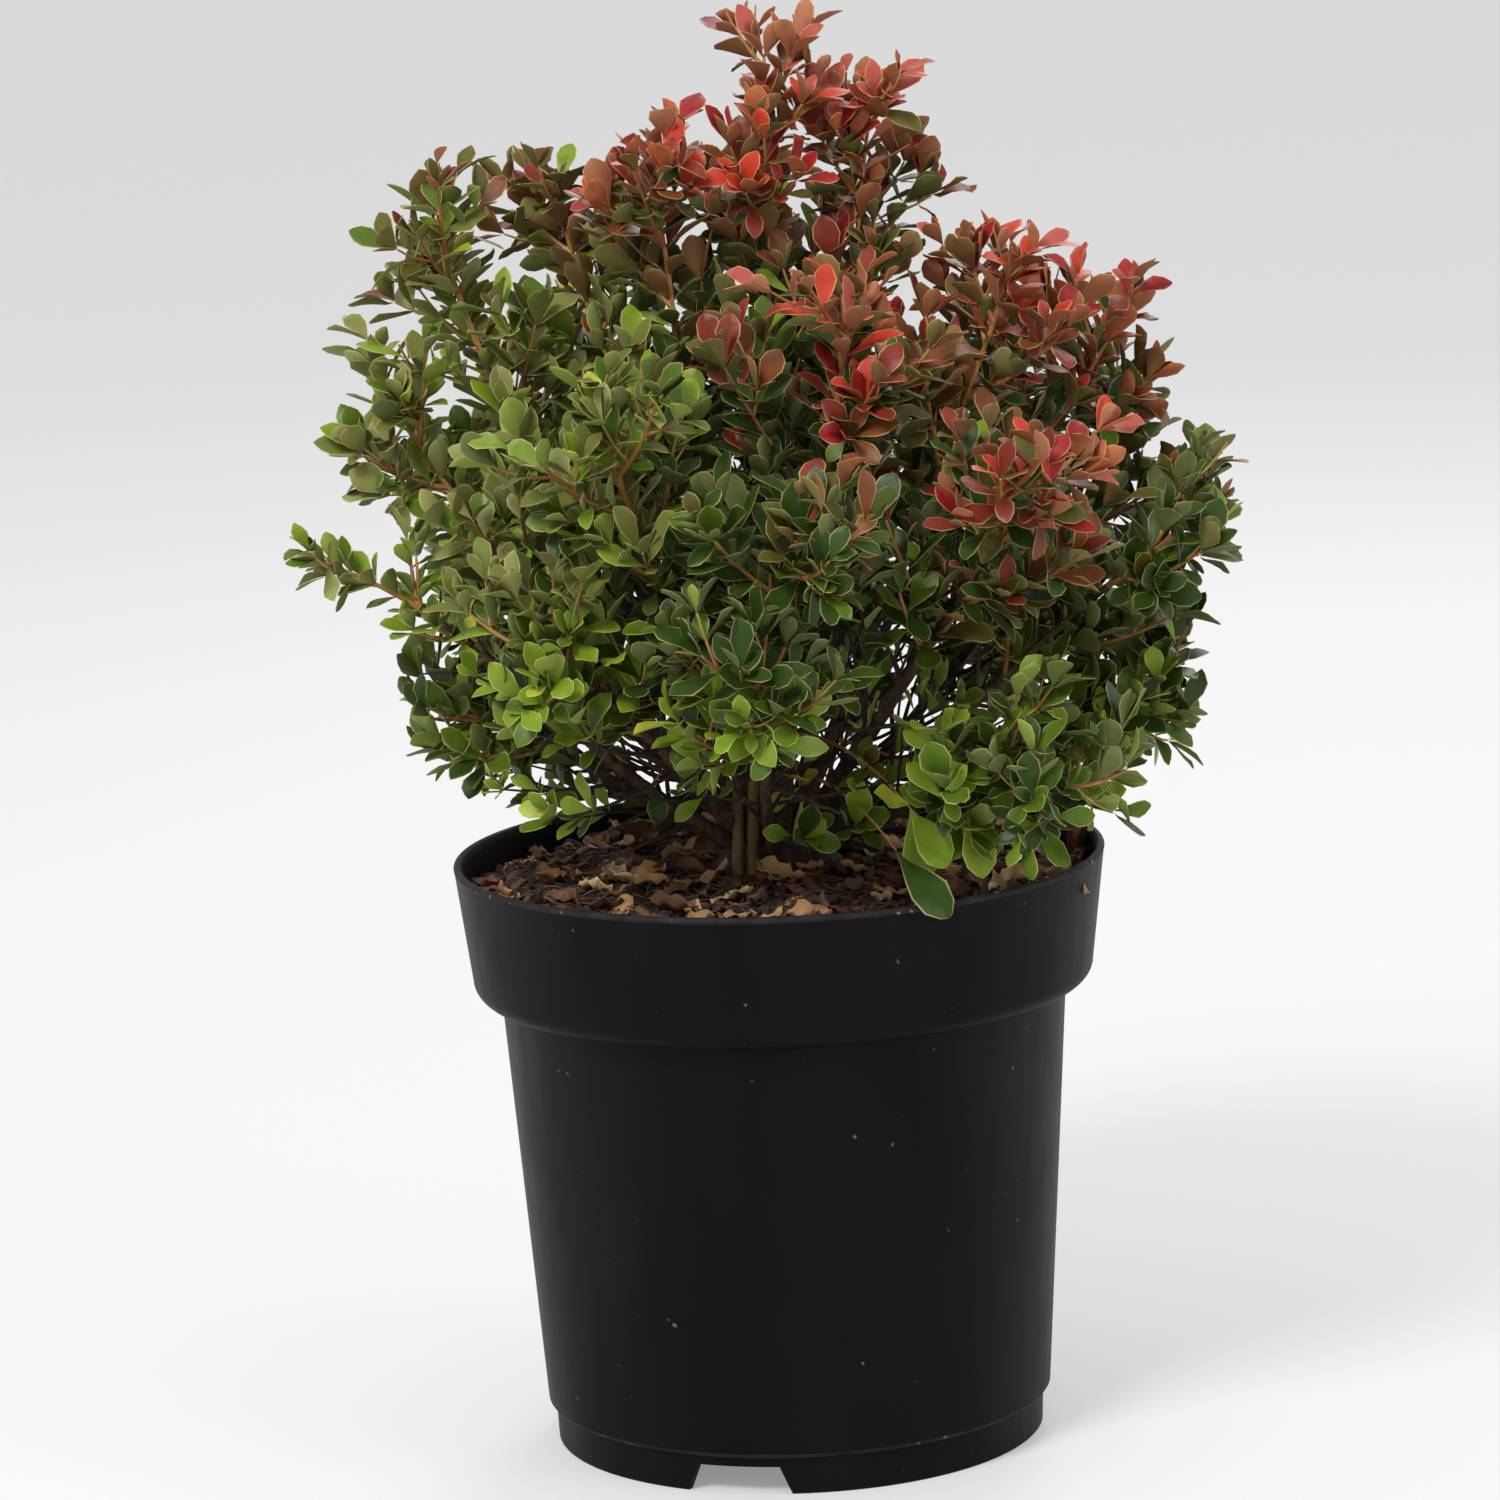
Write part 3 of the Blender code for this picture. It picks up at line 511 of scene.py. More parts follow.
@dataclass
class Growth:
    """Everything that one kind of twig or leaf needs, gathered while the shrub grows."""

    paths: list[Array] = field(default_factory=list)
    foot_radii: list[float] = field(default_factory=list)
    tip_radii: list[float] = field(default_factory=list)

    def add(self, path: Array, foot: float, tip: float) -> None:
        """Keep one twig's centre line and its radii at foot and tip."""
        self.paths.append(path)
        self.foot_radii.append(foot)
        self.tip_radii.append(tip)


@dataclass
class Leaves:
    """Arrays of leaves: where each one starts, how it points and what it looks like."""

    roots: list[Array] = field(default_factory=list)
    headings: list[Array] = field(default_factory=list)
    faces: list[Array] = field(default_factory=list)
    lengths: list[Array] = field(default_factory=list)
    warmth: list[Array] = field(default_factory=list)
    spray: list[Array] = field(default_factory=list)

    def add(self, roots: Array, headings: Array, faces: Array, lengths: Array, warmth: Array, spray: int) -> None:
        """Keep a batch of leaves of one spray."""
        self.roots.append(roots)
        self.headings.append(headings)
        self.faces.append(faces)
        self.lengths.append(lengths)
        self.warmth.append(warmth)
        self.spray.append(np.full(len(roots), spray))


@dataclass
class Room:
    """The space of one foliage mass: walls, each a direction and a level along it."""

    aways: Array
    levels: Array
    floor: float

    def depth(self, points: Array) -> Array:
        """How far points lie inside: the least of level - away . point over all walls."""
        depth = np.min(self.levels - points @ self.aways.T, axis=-1)
        return np.minimum(depth, points[..., 2] - self.floor)


@dataclass
class Shrub:
    """Root crown, boughs, shoots, twigs and leaves."""

    shades: Shades
    pot_height: float = 201.0 * MM
    plant_height: float = 487.0 * MM
    crown_base: float = 196.3 * MM
    crown_radius: float = 17.0 * MM
    crown_flare: float = 6.0 * MM
    gap: float = 0.3 * MM
    limb_handle: float = 0.36
    bough_share: float = 0.44
    bough_foot: float = 2.3 * MM
    bough_tip: float = 1.6 * MM
    foot_spacing: float = math.radians(21.0)
    foot_least_rise: float = math.radians(22.0)
    spread_passes: int = 200
    spread_push: float = 0.4
    spread_pull: float = 0.02
    space_heading: float = 0.75
    half_width: float = 160.0 * MM
    half_depth: float = 148.0 * MM
    side_shoots: int = 4
    side_angle: float = math.radians(50.0)
    side_lift: float = 0.35
    pot_clearance: float = 17.0 * MM
    hanging_clearance: float = 3.0 * MM
    side_sizes: tuple[float, ...] = (1.0, 0.84, 0.68, 0.52)
    side_turns: tuple[float, ...] = (0.0, 0.7, 1.4)
    extra_shoots: int = 6
    slim_spread: float = 20.0
    hang_rise: float = 14.0 * MM
    piece_leaves: int = 2400
    twigs_on_side: int = 2
    leaf_length: float = 17.5 * MM
    leaf_share: float = 0.25
    leaf_thickness: float = 0.34 * MM
    seed: int = 1923

    def __post_init__(self) -> None:
        """Plan the limbs and set up what grows from them."""
        self.centre = np.array((0.0, 0.0, self.crown_base))
        self.handles = self.plan_limbs()
        middle = bezier(self.handles, np.array([self.space_heading]))[:, 0]
        self.out = unit(middle - self.centre)
        self.rooms = [self.make_room(index) for index in range(len(SPRAYS))]
        self.old = Growth()
        self.young = Growth()
        self.fine = Growth()
        self.inner = Growth()
        self.leaves = Leaves()

    def directions(self) -> tuple[Array, Array]:
        """Outward direction of each spray's bearing, and the heading of its tip."""
        bearing = np.radians([spray.bearing for spray in SPRAYS])
        rise = np.radians([spray.rise for spray in SPRAYS])
        flat = np.stack((np.cos(bearing), np.sin(bearing), np.zeros_like(bearing)), axis=-1)
        heading = flat * np.cos(rise)[:, None]
        heading[:, 2] = np.sin(rise)
        return flat, heading

    def plan_limbs(self) -> Array:
        """Four handles of each limb's curve, from the root crown's dome to the spray's tip.

        The feet stand square on the dome. They start out towards their tips and push each
        other apart, and a limb leaves along its foot and arrives along its tip's heading.

        Returns:
            Handles of shape (sprays, 4, 3).
        """
        flat, heading = self.directions()
        tips = flat * np.array([spray.reach for spray in SPRAYS])[:, None] * MM
        tips[:, 2] = np.array([spray.height for spray in SPRAYS]) * MM
        wanted = unit(tips - self.centre)
        feet = wanted.copy()
        for _ in range(self.spread_passes):
            for index, foot in enumerate(feet):
                angle = np.arccos(np.clip(feet @ foot, -1.0, 1.0))
                angle[index] = math.pi
                near = np.maximum(self.foot_spacing - angle, 0.0)
                push = (unit(foot - feet) * near[:, None]).sum(axis=0)
                moved = unit(foot + push * self.spread_push + wanted[index] * self.spread_pull)
                level = unit(moved * (1.0, 1.0, 0.0))
                rise = max(math.asin(moved[2]), self.foot_least_rise)
                feet[index] = level * math.cos(rise) + np.array((0.0, 0.0, math.sin(rise)))
        starts = self.centre + feet * (self.crown_radius + self.gap)
        handle = self.limb_handle * np.linalg.norm(tips - starts, axis=1)[:, None]
        return np.stack((starts, starts + feet * handle, tips - heading * handle, tips), axis=1)

    def make_room(self, index: int) -> Room:
        """The cone of directions nearer this spray's own than another's, with outer walls."""
        spray = SPRAYS[index]
        bearing = math.radians(spray.bearing)
        upright = spray.rise / 90.0
        beside = spray.spread * MM * upright**2
        above = spray.spread * MM * (1.0 - upright) ** 2
        aways = [(math.cos(bearing), math.sin(bearing), 0.0), (0.0, 0.0, 1.0)]
        levels = [spray.reach * MM + beside, spray.height * MM + MM + above]
        for side in (-1.0, 1.0):
            aways += [(side, 0.0, 0.0), (0.0, side, 0.0)]
            levels += [self.half_width, self.half_depth]
        others = np.delete(self.out, index, axis=0)
        cones = unit(others - self.out[index])
        return Room(
            np.concatenate((np.array(aways), cones)),
            np.concatenate((np.array(levels), cones @ self.centre)),
            self.pot_height + (self.hanging_clearance if spray.rise < 0 else self.pot_clearance),
        )

    @staticmethod
    def aside(heading: Array, turn: Array, lean: Array) -> Array:
        """Directions that lean away from headings, turned round them."""
        side = unit(np.cross(heading, np.array((0.0, 1.0, 0.12))))
        other = np.cross(heading, side)
        turn = np.asarray(turn)[..., None]
        lean = np.asarray(lean)[..., None]
        return heading * np.cos(lean) + (side * np.cos(turn) + other * np.sin(turn)) * np.sin(lean)

    @staticmethod
    def shoot_curve(foot: Array, side: Array, size: float, lift: float, steps: int) -> Array:
        """A shoot that leaves along side and bends up: a quadratic curve foot, middle, tip."""
        middle = foot + side * (0.5 * size)
        tip = foot + side * size + np.array((0.0, 0.0, lift * size))
        t = np.linspace(0.0, 1.0, steps)[:, None]
        return foot * (1 - t) ** 2 + middle * (2 * t * (1 - t)) + tip * t**2

    def grow(self) -> None:
        """Grow every spray: leading shoot, side shoots, finer twigs, then leaves."""
        for index, spray in enumerate(SPRAYS):
            dice = random.Random(self.seed + index)
            rng = np.random.default_rng(self.seed * 7 + index)
            start = self.bough_share
            leader = bezier(self.handles[index : index + 1], np.linspace(start, self.leader_end(index), 25))[0]
            self.old.add(leader[:15], 1.6 * MM, 1.1 * MM)
            self.young.add(leader[np.linspace(14, 24, 9).astype(int)], 1.1 * MM, 0.55 * MM)
            self.leaf_shoot(leader, index, rng, 0.10, 1.0, 1.0)
            self.grow_sides(leader, index, spray, dice, rng)
            self.grow_inner(index, rng)

    def leader_end(self, index: int) -> float:
        """Place on a limb where its last rosette starts, a leaf's length short of the tip."""
        a, b = bezier(self.handles[index : index + 1], np.array([0.9, 1.0]))[0]
        return 1.0 - 0.1 * 0.9 * self.leaf_length / np.linalg.norm(b - a)

    def grow_sides(self, leader: Array, index: int, spray: Spray, dice: random.Random,
                   rng: np.random.Generator) -> None:
        """Side shoots by the model's own rule, then more between them.

        Args:
            leader: Points of the leading shoot.
            index: The spray's number.
            spray: The spray.
            dice: The model's own seeded numbers.
            rng: Seeded numbers for everything finer.
        """
        turn = dice.uniform(0.0, math.tau)
        first = np.linspace(0.12, 0.86, self.side_shoots)
        more = np.linspace(0.04, 0.97, self.extra_shoots)
        for number, place in enumerate((*first, *more)):
            spot = place * (len(leader) - 1)
            low = min(int(spot), len(leader) - 2)
            foot = leader[low] + (leader[low + 1] - leader[low]) * (spot - low)
            heading = unit(leader[low + 1] - leader[low])
            length = spray.spread * MM * (1.15 - 0.5 * place) * dice.uniform(0.85, 1.15)
            if number >= self.side_shoots:
                length *= 0.95
            for extra, share in product(self.side_turns, self.side_sizes):
                side = self.aside(heading, turn + extra, self.side_angle)
                path = self.shoot_curve(foot, side, length * share, self.side_lift, 7)
                if self.rooms[index].depth(path[3:]).min() > 2.0 * MM:
                    fine = self.shoot_curve(foot, side, length * share, self.side_lift, 9)
                    self.young.add(fine, 0.95 * MM, 0.45 * MM)
                    self.leaf_shoot(path, index, rng, 0.18, place, 0.9)
                    self.grow_twigs(path, index, rng, place)
                    break
            turn += GOLDEN_ANGLE

    def slim(self, index: int) -> bool:
        """Whether a spray is a lone slim shoot."""
        return SPRAYS[index].spread < self.slim_spread

    def grow_twigs(self, path: Array, index: int, rng: np.random.Generator, place: float) -> None:
        """Fine twigs on a side shoot, each with leaves of its own."""
        if self.slim(index):
            return
        turn = rng.uniform(0.0, math.tau)
        for share in np.linspace(0.3, 0.7, self.twigs_on_side):
            spot = share * (len(path) - 1)
            low = int(spot)
            foot = path[low] + (path[low + 1] - path[low]) * (spot - low)
            heading = unit(path[low + 1] - path[low])
            side = self.aside(heading, turn, math.radians(50.0))
            size = rng.uniform(10.0, 19.0) * MM
            twig = self.shoot_curve(foot, side, size, 0.3, 5)
            turn += GOLDEN_ANGLE
            if self.rooms[index].depth(twig[-1]) > 1.0 * MM:
                self.fine.add(twig, 0.55 * MM, 0.35 * MM)
                self.leaf_shoot(twig, index, rng, 0.5, place, 0.85)

    def grow_inner(self, index: int, rng: np.random.Generator) -> None:
        """Bare dark twigs low on the bough, where light doesn't reach the leaves."""
        bough = bezier(self.handles[index : index + 1], np.linspace(0.08, self.bough_share, 9))[0]
        for _ in range(11):
            low = int(rng.integers(0, 8))
            foot = bough[low] + (bough[low + 1] - bough[low]) * rng.uniform()
            heading = unit(bough[low + 1] - bough[low])
            side = self.aside(heading, rng.uniform(0, math.tau), rng.uniform(0.5, 1.1))
            path = self.shoot_curve(foot, side, rng.uniform(22.0, 60.0) * MM, rng.uniform(-0.1, 0.5), 9)
            path += layered_noise(path[:, None] + np.arange(3) * 0.37, 18 * MM, index + 2.0) * 1.5 * MM * (
                np.linspace(0.0, 1.0, 9)[:, None])
            if path[:, 2].min() > self.crown_base + 3.0 * MM:
                self.inner.add(path, rng.uniform(0.7, 1.1) * MM, 0.35 * MM)
                if rng.uniform() < 0.75:
                    self.leaf_shoot(path, index, rng, 0.7, 0.1, 0.8)

    def leaf_shoot(self, path: Array, index: int, rng: np.random.Generator, start: float,
                   place: float, size: float) -> None:
        """Rosettes of leaves wind along a shoot and close its tip.

        Args:
            path: Points of the shoot.
            index: The spray's number.
            rng: Seeded numbers.
            start: Share of the shoot's length where leaves begin.
            place: Where the shoot leaves the leading shoot, 0 at its foot and 1 at its tip.
            size: Share of a full leaf's length.
        """
        steps = np.linalg.norm(np.diff(path, axis=0), axis=1)
        along = np.concatenate(([0.0], np.cumsum(steps)))
        length = along[-1]
        count = max(int(length * (1.0 - start) / (8.5 * MM)) + 1, 2)
        spots = np.linspace(start * length, 0.985 * length, count)
        foot = np.stack([np.interp(spots, along, path[:, axis]) for axis in range(3)], axis=-1)
        ahead = np.stack([np.interp(spots + 2 * MM, along, path[:, axis]) for axis in range(3)], axis=-1)
        behind = np.stack([np.interp(spots - 2 * MM, along, path[:, axis]) for axis in range(3)], axis=-1)
        heading = unit(ahead - behind)
        turn = rng.uniform(0.0, math.tau) + GOLDEN_ANGLE * np.arange(count)
        for number, last in enumerate(spots > 0.95 * length):
            leaves = int(rng.integers(4, 7)) if last else int(rng.integers(3, 5))
            round_it = turn[number] + math.tau * np.arange(leaves) / leaves + rng.uniform(-0.3, 0.3, leaves)
            spread = (0.35, 0.95) if last else (0.75, 1.35)
            lean = rng.uniform(*spread, leaves)
            way = self.aside(np.repeat(heading[number][None], leaves, axis=0), round_it, lean)
            way = unit(way + np.array((0.0, 0.0, 0.22)))
            face = heading[number] + np.array((0.0, 0.0, 0.55)) + rng.uniform(-0.35, 0.35, (leaves, 3))
            grown = self.leaf_length * size * rng.uniform(0.62, 1.22, leaves) * (0.72 if self.slim(index) else 1.0)
            along_share = spots[number] / length
            outer = 0.55 * place + 0.45 * along_share if place < 1.0 else 0.15 + 0.85 * along_share
            warmth = SPRAYS[index].autumn * (1.4 * outer**1.8 - 0.02) + rng.normal(0.0, 0.13, leaves)
            roots = np.repeat(foot[number][None], leaves, axis=0) + way * 0.4 * MM
            self.leaves.add(roots, way, face, grown, warmth, index)

    def keep_leaves(self) -> dict[str, Array]:
        """Join the leaves and drop those that leave the crown's reach or enter the pot."""
        kept = {
            "root": np.concatenate(self.leaves.roots),
            "heading": np.concatenate(self.leaves.headings),
            "face": np.concatenate(self.leaves.faces),
            "length": np.concatenate(self.leaves.lengths),
            "warmth": np.concatenate(self.leaves.warmth),
            "spray": np.concatenate(self.leaves.spray),
        }
        tip = kept["root"] + kept["heading"] * kept["length"][:, None]
        depth = np.empty(len(tip))
        for index, room in enumerate(self.rooms):
            mine = kept["spray"] == index
            depth[mine] = room.depth(tip[mine])
        good = (depth > -5.0 * MM) & (tip[:, 2] > self.pot_height + 4.0 * MM)
        good &= tip[:, 2] < self.plant_height
        good &= (np.abs(tip[:, 0]) < self.half_width) & (np.abs(tip[:, 1]) < self.half_depth)
        return {key: value[good] for key, value in kept.items()}

    def deal_tints(self, leaves: dict[str, Array]) -> Array:
        """Number of each leaf's tint, from its spray's turn to red, its place, and painted shade that deals darker
        greens to low leaves and to those in the crown's middle and right.

        Args:
            leaves: The leaves that are kept.

        Returns:
            Index into the members of Tint.
        """
        rng = np.random.default_rng(self.seed)
        root = leaves["root"]
        count = len(root)
        names = list(Tint)
        warmth = leaves["warmth"] + 0.9 * (root[:, 2] - 0.36)
        noise = lattice_noise(root, 34 * MM, 4.0)
        warmth = warmth + 0.16 * noise
        # Painted shade and light: the green's lightness rises with height and drops for leaves above 0.27 m in the
        # crown's middle and right, so low and inner leaves get darker greens for the shade there and high ones paler
        # greens.
        light = (root[:, 2] - 0.30) * 1.6 + 0.5 * lattice_noise(root, 26 * MM, 9.0) + rng.normal(0, 0.35, count)
        light = light - 0.8 * np.clip((root[:, 0] + 0.06) / 0.06, 0.0, 1.0) * (root[:, 2] > 0.27)
        green = np.digitize(light, (-0.35, 0.10, 0.75))
        tint = np.array([names.index(member) for member in GREENS])[green]
        left = (root[:, 0] < -0.035) & (root[:, 2] > 0.30) & (rng.uniform(size=count) < 0.55)
        dusty = np.where(rng.uniform(size=count) < 0.6, names.index(Tint.OLIVE), names.index(Tint.SAGE))
        tint = np.where(left, dusty, tint)
        levels = np.array([0.34, 0.46, 0.56, 0.70, 0.84, 0.98])
        warm = np.digitize(warmth + rng.normal(0.0, 0.05, count), levels)
        turned = np.array([0] + [names.index(member) for member in TURNED])[warm]
        return np.where(warm > 0, turned, tint)

    def leaf_points(self, leaves: dict[str, Array], rng: np.random.Generator) -> Array:
        """Points of closed thin leaves.

        A leaf is a surface of u along it and v across it. Its half width is
        share * length * sin(pi * u^1.7)^0.8, widest at two thirds and round at the tip.
        Height = fold * |x| - arch * length * u^2 + wave * v^2, and the two skins stand
        apart by the thickness, which closes at both edges.

        Args:
            leaves: The leaves' roots, headings, faces and lengths.
            rng: Seeded numbers.

        Returns:
            Points of shape (n, 42, 3).
        """
        u = np.array((0.16, 0.40, 0.62, 0.82, 0.95))
        v = np.array((-1.0, -0.9, 0.0, 0.9, 1.0, -0.9, 0.0, 0.9))
        skin = np.array((0.0, 0.4, 0.5, 0.4, 0.0, -0.4, -0.5, -0.4))
        count = len(leaves["root"])
        length = leaves["length"][:, None, None]
        share = self.leaf_share * rng.uniform(0.85, 1.15, (count, 1, 1))
        half = share * np.sin(math.pi * u**1.7)[None, :, None] ** 0.8
        fold = rng.uniform(0.02, 0.55, (count, 1, 1))
        arch = rng.normal(0.06, 0.13, (count, 1, 1))
        twist = rng.normal(0.0, 0.10, (count, 1, 1))
        wave = rng.normal(0.0, 0.03, (count, 1, 1))
        x = half * v * length
        y = np.broadcast_to(u[None, :, None], x.shape) * length
        z = fold * np.abs(x) - arch * length * u[None, :, None] ** 2
        z = z + wave * length * v**2 * np.sin(9.0 * u)[None, :, None] + twist * x * u[None, :, None]
        z = z + skin * self.leaf_thickness
        body = np.stack((x, y, z), axis=-1).reshape(count, -1, 3)
        ends = np.zeros((count, 2, 3))
        ends[:, 1, 1] = leaves["length"]
        ends[:, 1, 2] = -arch[:, 0, 0] * leaves["length"]
        flat = np.concatenate((ends, body), axis=1)
        heading = leaves["heading"]
        normal = unit(leaves["face"] - heading * np.sum(leaves["face"] * heading, axis=1, keepdims=True))
        frame = np.stack((np.cross(heading, normal), heading, normal), axis=1)
        return leaves["root"][:, None] + flat @ frame

    @staticmethod
    def leaf_faces(count: int) -> tuple[list[list[int]], Array]:
        """Faces of leaf_points and the slot of each: 0 above, 1 below and 2 at the edge."""
        top = (0, 1, 2, 3, 4)
        below = (0, 5, 6, 7, 4)
        slot_across = (2, 0, 0, 2)
        quads, quad_slots, fans, fan_slots = [], [], [], []
        for row, column in product(range(4), range(4)):
            low = 2 + 8 * row
            a, b = low + top[column], low + top[column + 1]
            quads.append((a, b, b + 8, a + 8))
            c, d = low + below[column], low + below[column + 1]
            quads.append((c, c + 8, d + 8, d))
            slot = slot_across[column]
            quad_slots += [slot, slot if slot == 2 else 1]
        for column in range(4):
            a, b = 2 + top[column], 2 + top[column + 1]
            c, d = 2 + below[column], 2 + below[column + 1]
            fans += [(0, b, a), (0, c, d), (a + 32, b + 32, 1), (d + 32, c + 32, 1)]
            slot = slot_across[column]
            fan_slots += [slot, slot if slot == 2 else 1] * 2
        faces = repeat_faces(np.array(quads), count, 42).tolist()
        faces += repeat_faces(np.array(fans), count, 42).tolist()
        return faces, np.concatenate((np.tile(quad_slots, count), np.tile(fan_slots, count)))

    def build_leaves(self) -> list[bpy.types.Object]:
        """One or two pieces of leaves for each tint, standing for the foliage it is most of."""
        leaves = self.keep_leaves()
        tints = self.deal_tints(leaves)
        rng = np.random.default_rng(self.seed + 5)
        points = self.leaf_points(leaves, rng)
        share = np.zeros((len(SPRAYS), len(Tint)))
        np.add.at(share, (leaves["spray"], tints), 1.0)
        main = np.argmax(share, axis=1)
        pieces = []
        for number, tint in enumerate(Tint):
            mine = np.flatnonzero(tints == number)
            materials = LeafFinish(tint).build(self.shades)
            wanted = set(np.flatnonzero(main == number))
            parts = math.ceil(len(mine) / self.piece_leaves)
            for part, chunk in enumerate(np.array_split(mine, max(parts, 1))):
                faces, slots = self.leaf_faces(len(chunk))
                name = f"leaves_{tint.name.lower()}" + (f"_{part + 1}" if parts > 1 else "")
                piece = make_object(name, points[chunk], faces, materials, slots, 50.0)
                here = sorted(wanted & set(leaves["spray"][chunk]))
                wanted -= set(here)
                if here:
                    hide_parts(*(f"foliage_{SPRAYS[index].name}" for index in here))
                pieces.append(piece)
        log.info("leaves: %d", len(points))
        return pieces

    def hang_twigs(self) -> None:
        """A fine twig from among the boughs to the foot of each loose leaf."""
        for foot in {leaf.foot for leaf in LOOSE_LEAVES}:
            tip = np.array(foot) * MM
            start = np.array((0.35 * tip[0], 0.35 * tip[1], tip[2] + self.hang_rise))
            t = np.linspace(0.0, 1.0, 5)[:, None]
            bow = np.array((0.0, 0.0, self.hang_rise)) * t * (1.0 - t)
            self.fine.add(start * (1 - t) + tip * t + bow, 0.8 * MM, 0.4 * MM)

    def build_loose_leaves(self) -> None:
        """One piece for each colour of the leaves that stand apart."""
        rng = np.random.default_rng(self.seed + 11)
        for tint in dict.fromkeys(leaf.tint for leaf in LOOSE_LEAVES):
            mine = [leaf for leaf in LOOSE_LEAVES if leaf.tint is tint]
            feet = np.array([leaf.foot for leaf in mine]) * MM
            span = np.array([leaf.tip for leaf in mine]) * MM - feet
            leaves = {"root": feet, "heading": unit(span), "length": np.linalg.norm(span, axis=1),
                      "face": np.tile((0.1, -0.8, 0.6), (len(mine), 1))}
            faces, slots = self.leaf_faces(len(mine))
            materials = LeafFinish(tint).build(self.shades)
            piece = make_object(f"loose_{tint.name.lower()}", self.leaf_points(leaves, rng), faces, materials,
                                slots, 50.0)

    def build_stubs(self) -> None:
        """Two cut stems beside the root crown, and a broken stick at the pot's wall."""
        kinds = {
            "cut_stems": (((-14.0, -21.0), (-9.0, -22.0)), (195.0, 236.0), 1.9,
                          Finish("cut_stem", srgb(118, 98, 44), srgb(84, 60, 34), 0.6, 0.1, 160.0, 0.3)),
            "stick": (((100.5, 22.0),), (186.0, 204.0), 2.4,
                      Finish("stick_bark", srgb(116, 62, 42), srgb(78, 42, 30), 0.7, 0.1, 200.0, 0.5)),
        }
        steps, sides = 12, 12
        t = np.linspace(0.0, 1.0, steps)[:, None]
        for name, (places, (low, high), radius, finish) in kinds.items():
            feet = np.array([(*place, low) for place in places]) * MM
            lean = np.array((0.04 * (high - low), 0.03 * (high - low), high - low)) * MM
            paths = feet[:, None] + t * lean
            radii = np.full(paths.shape[:2], radius * MM)
            relief = 0.1 * lattice_noise(paths[:, :, None] + np.arange(sides)[:, None] * 0.9 * MM, 2.5 * MM, 4.0)
            piece = make_object(name, tube_points(paths, radii, sides, relief), tube_faces(len(paths), steps, sides),
                                [finish.build(self.shades)])

    def build_twigs(self) -> None:
        """Join the twigs of each kind into one piece."""
        finishes = {
            "twigs_old": (self.old, 6, Finish("twig_bark", srgb(96, 66, 40), srgb(62, 42, 28), 0.6, 0.1, 300.0, 0.3)),
            "twigs_young": (self.young, 5, Finish("young_twig", srgb(168, 124, 58), srgb(132, 70, 38), 0.5, 0.1, 60.0)),
            "twigs_fine": (self.fine, 4, Finish("fine_twig", srgb(164, 140, 66), srgb(150, 84, 46), 0.5, 0.1, 60.0)),
            "twigs_inner": (self.inner, 5, Finish("inner_twig", srgb(58, 40, 30), srgb(34, 24, 19), 0.75, 0.1, 300.0, 0.3)),
        }
        for name, (growth, sides, finish) in finishes.items():
            paths = np.array(growth.paths)
            steps = paths.shape[1]
            t = np.linspace(0.0, 1.0, steps)
            foot = np.array(growth.foot_radii)[:, None]
            tip = np.array(growth.tip_radii)[:, None]
            knots = 1.0 + 0.16 * lattice_noise(paths, 5 * MM, 3.0)
            points = tube_points(paths, (foot + (tip - foot) * t) * knots, sides)
            faces = tube_faces(len(paths), steps, sides)
            piece = make_object(name, points, faces, [finish.build(self.shades)], sharp=60.0)

    def build_boughs(self) -> None:
        """Boughs with grooved bark: radius * (1 + grooves along the limb + knots)."""
        steps, sides = 40, 14
        paths = bezier(self.handles, np.linspace(-0.03, self.bough_share + 0.02, steps))
        t = np.linspace(0.0, 1.0, steps)
        radii = np.broadcast_to(self.bough_foot + (self.bough_tip - self.bough_foot) * t, paths.shape[:2])
        radii = radii * (1.0 + 0.6 * np.exp(-t * 16.0))
        points = tube_points(paths, radii, sides)[:, : steps * sides].reshape(len(paths), steps, sides, 3)
        around = math.tau * np.arange(sides) / sides
        grooves = np.abs(np.sin(3.5 * around + 6.0 * lattice_noise(points, 9 * MM, 2.0)))
        relief = 0.16 * grooves - 0.10 + 0.16 * layered_noise(points, 4 * MM, 7.0)
        points = tube_points(paths, radii, sides, relief)
        bark = Finish("bough_bark", srgb(92, 66, 46), srgb(46, 33, 25), 0.78, 0.12, 420.0, 0.25, 0.7, 0.5 * MM)
        piece = make_object("boughs", points, tube_faces(len(paths), steps, sides), [bark.build(self.shades)])
        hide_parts(*(f"bough_{spray.name}" for spray in SPRAYS))

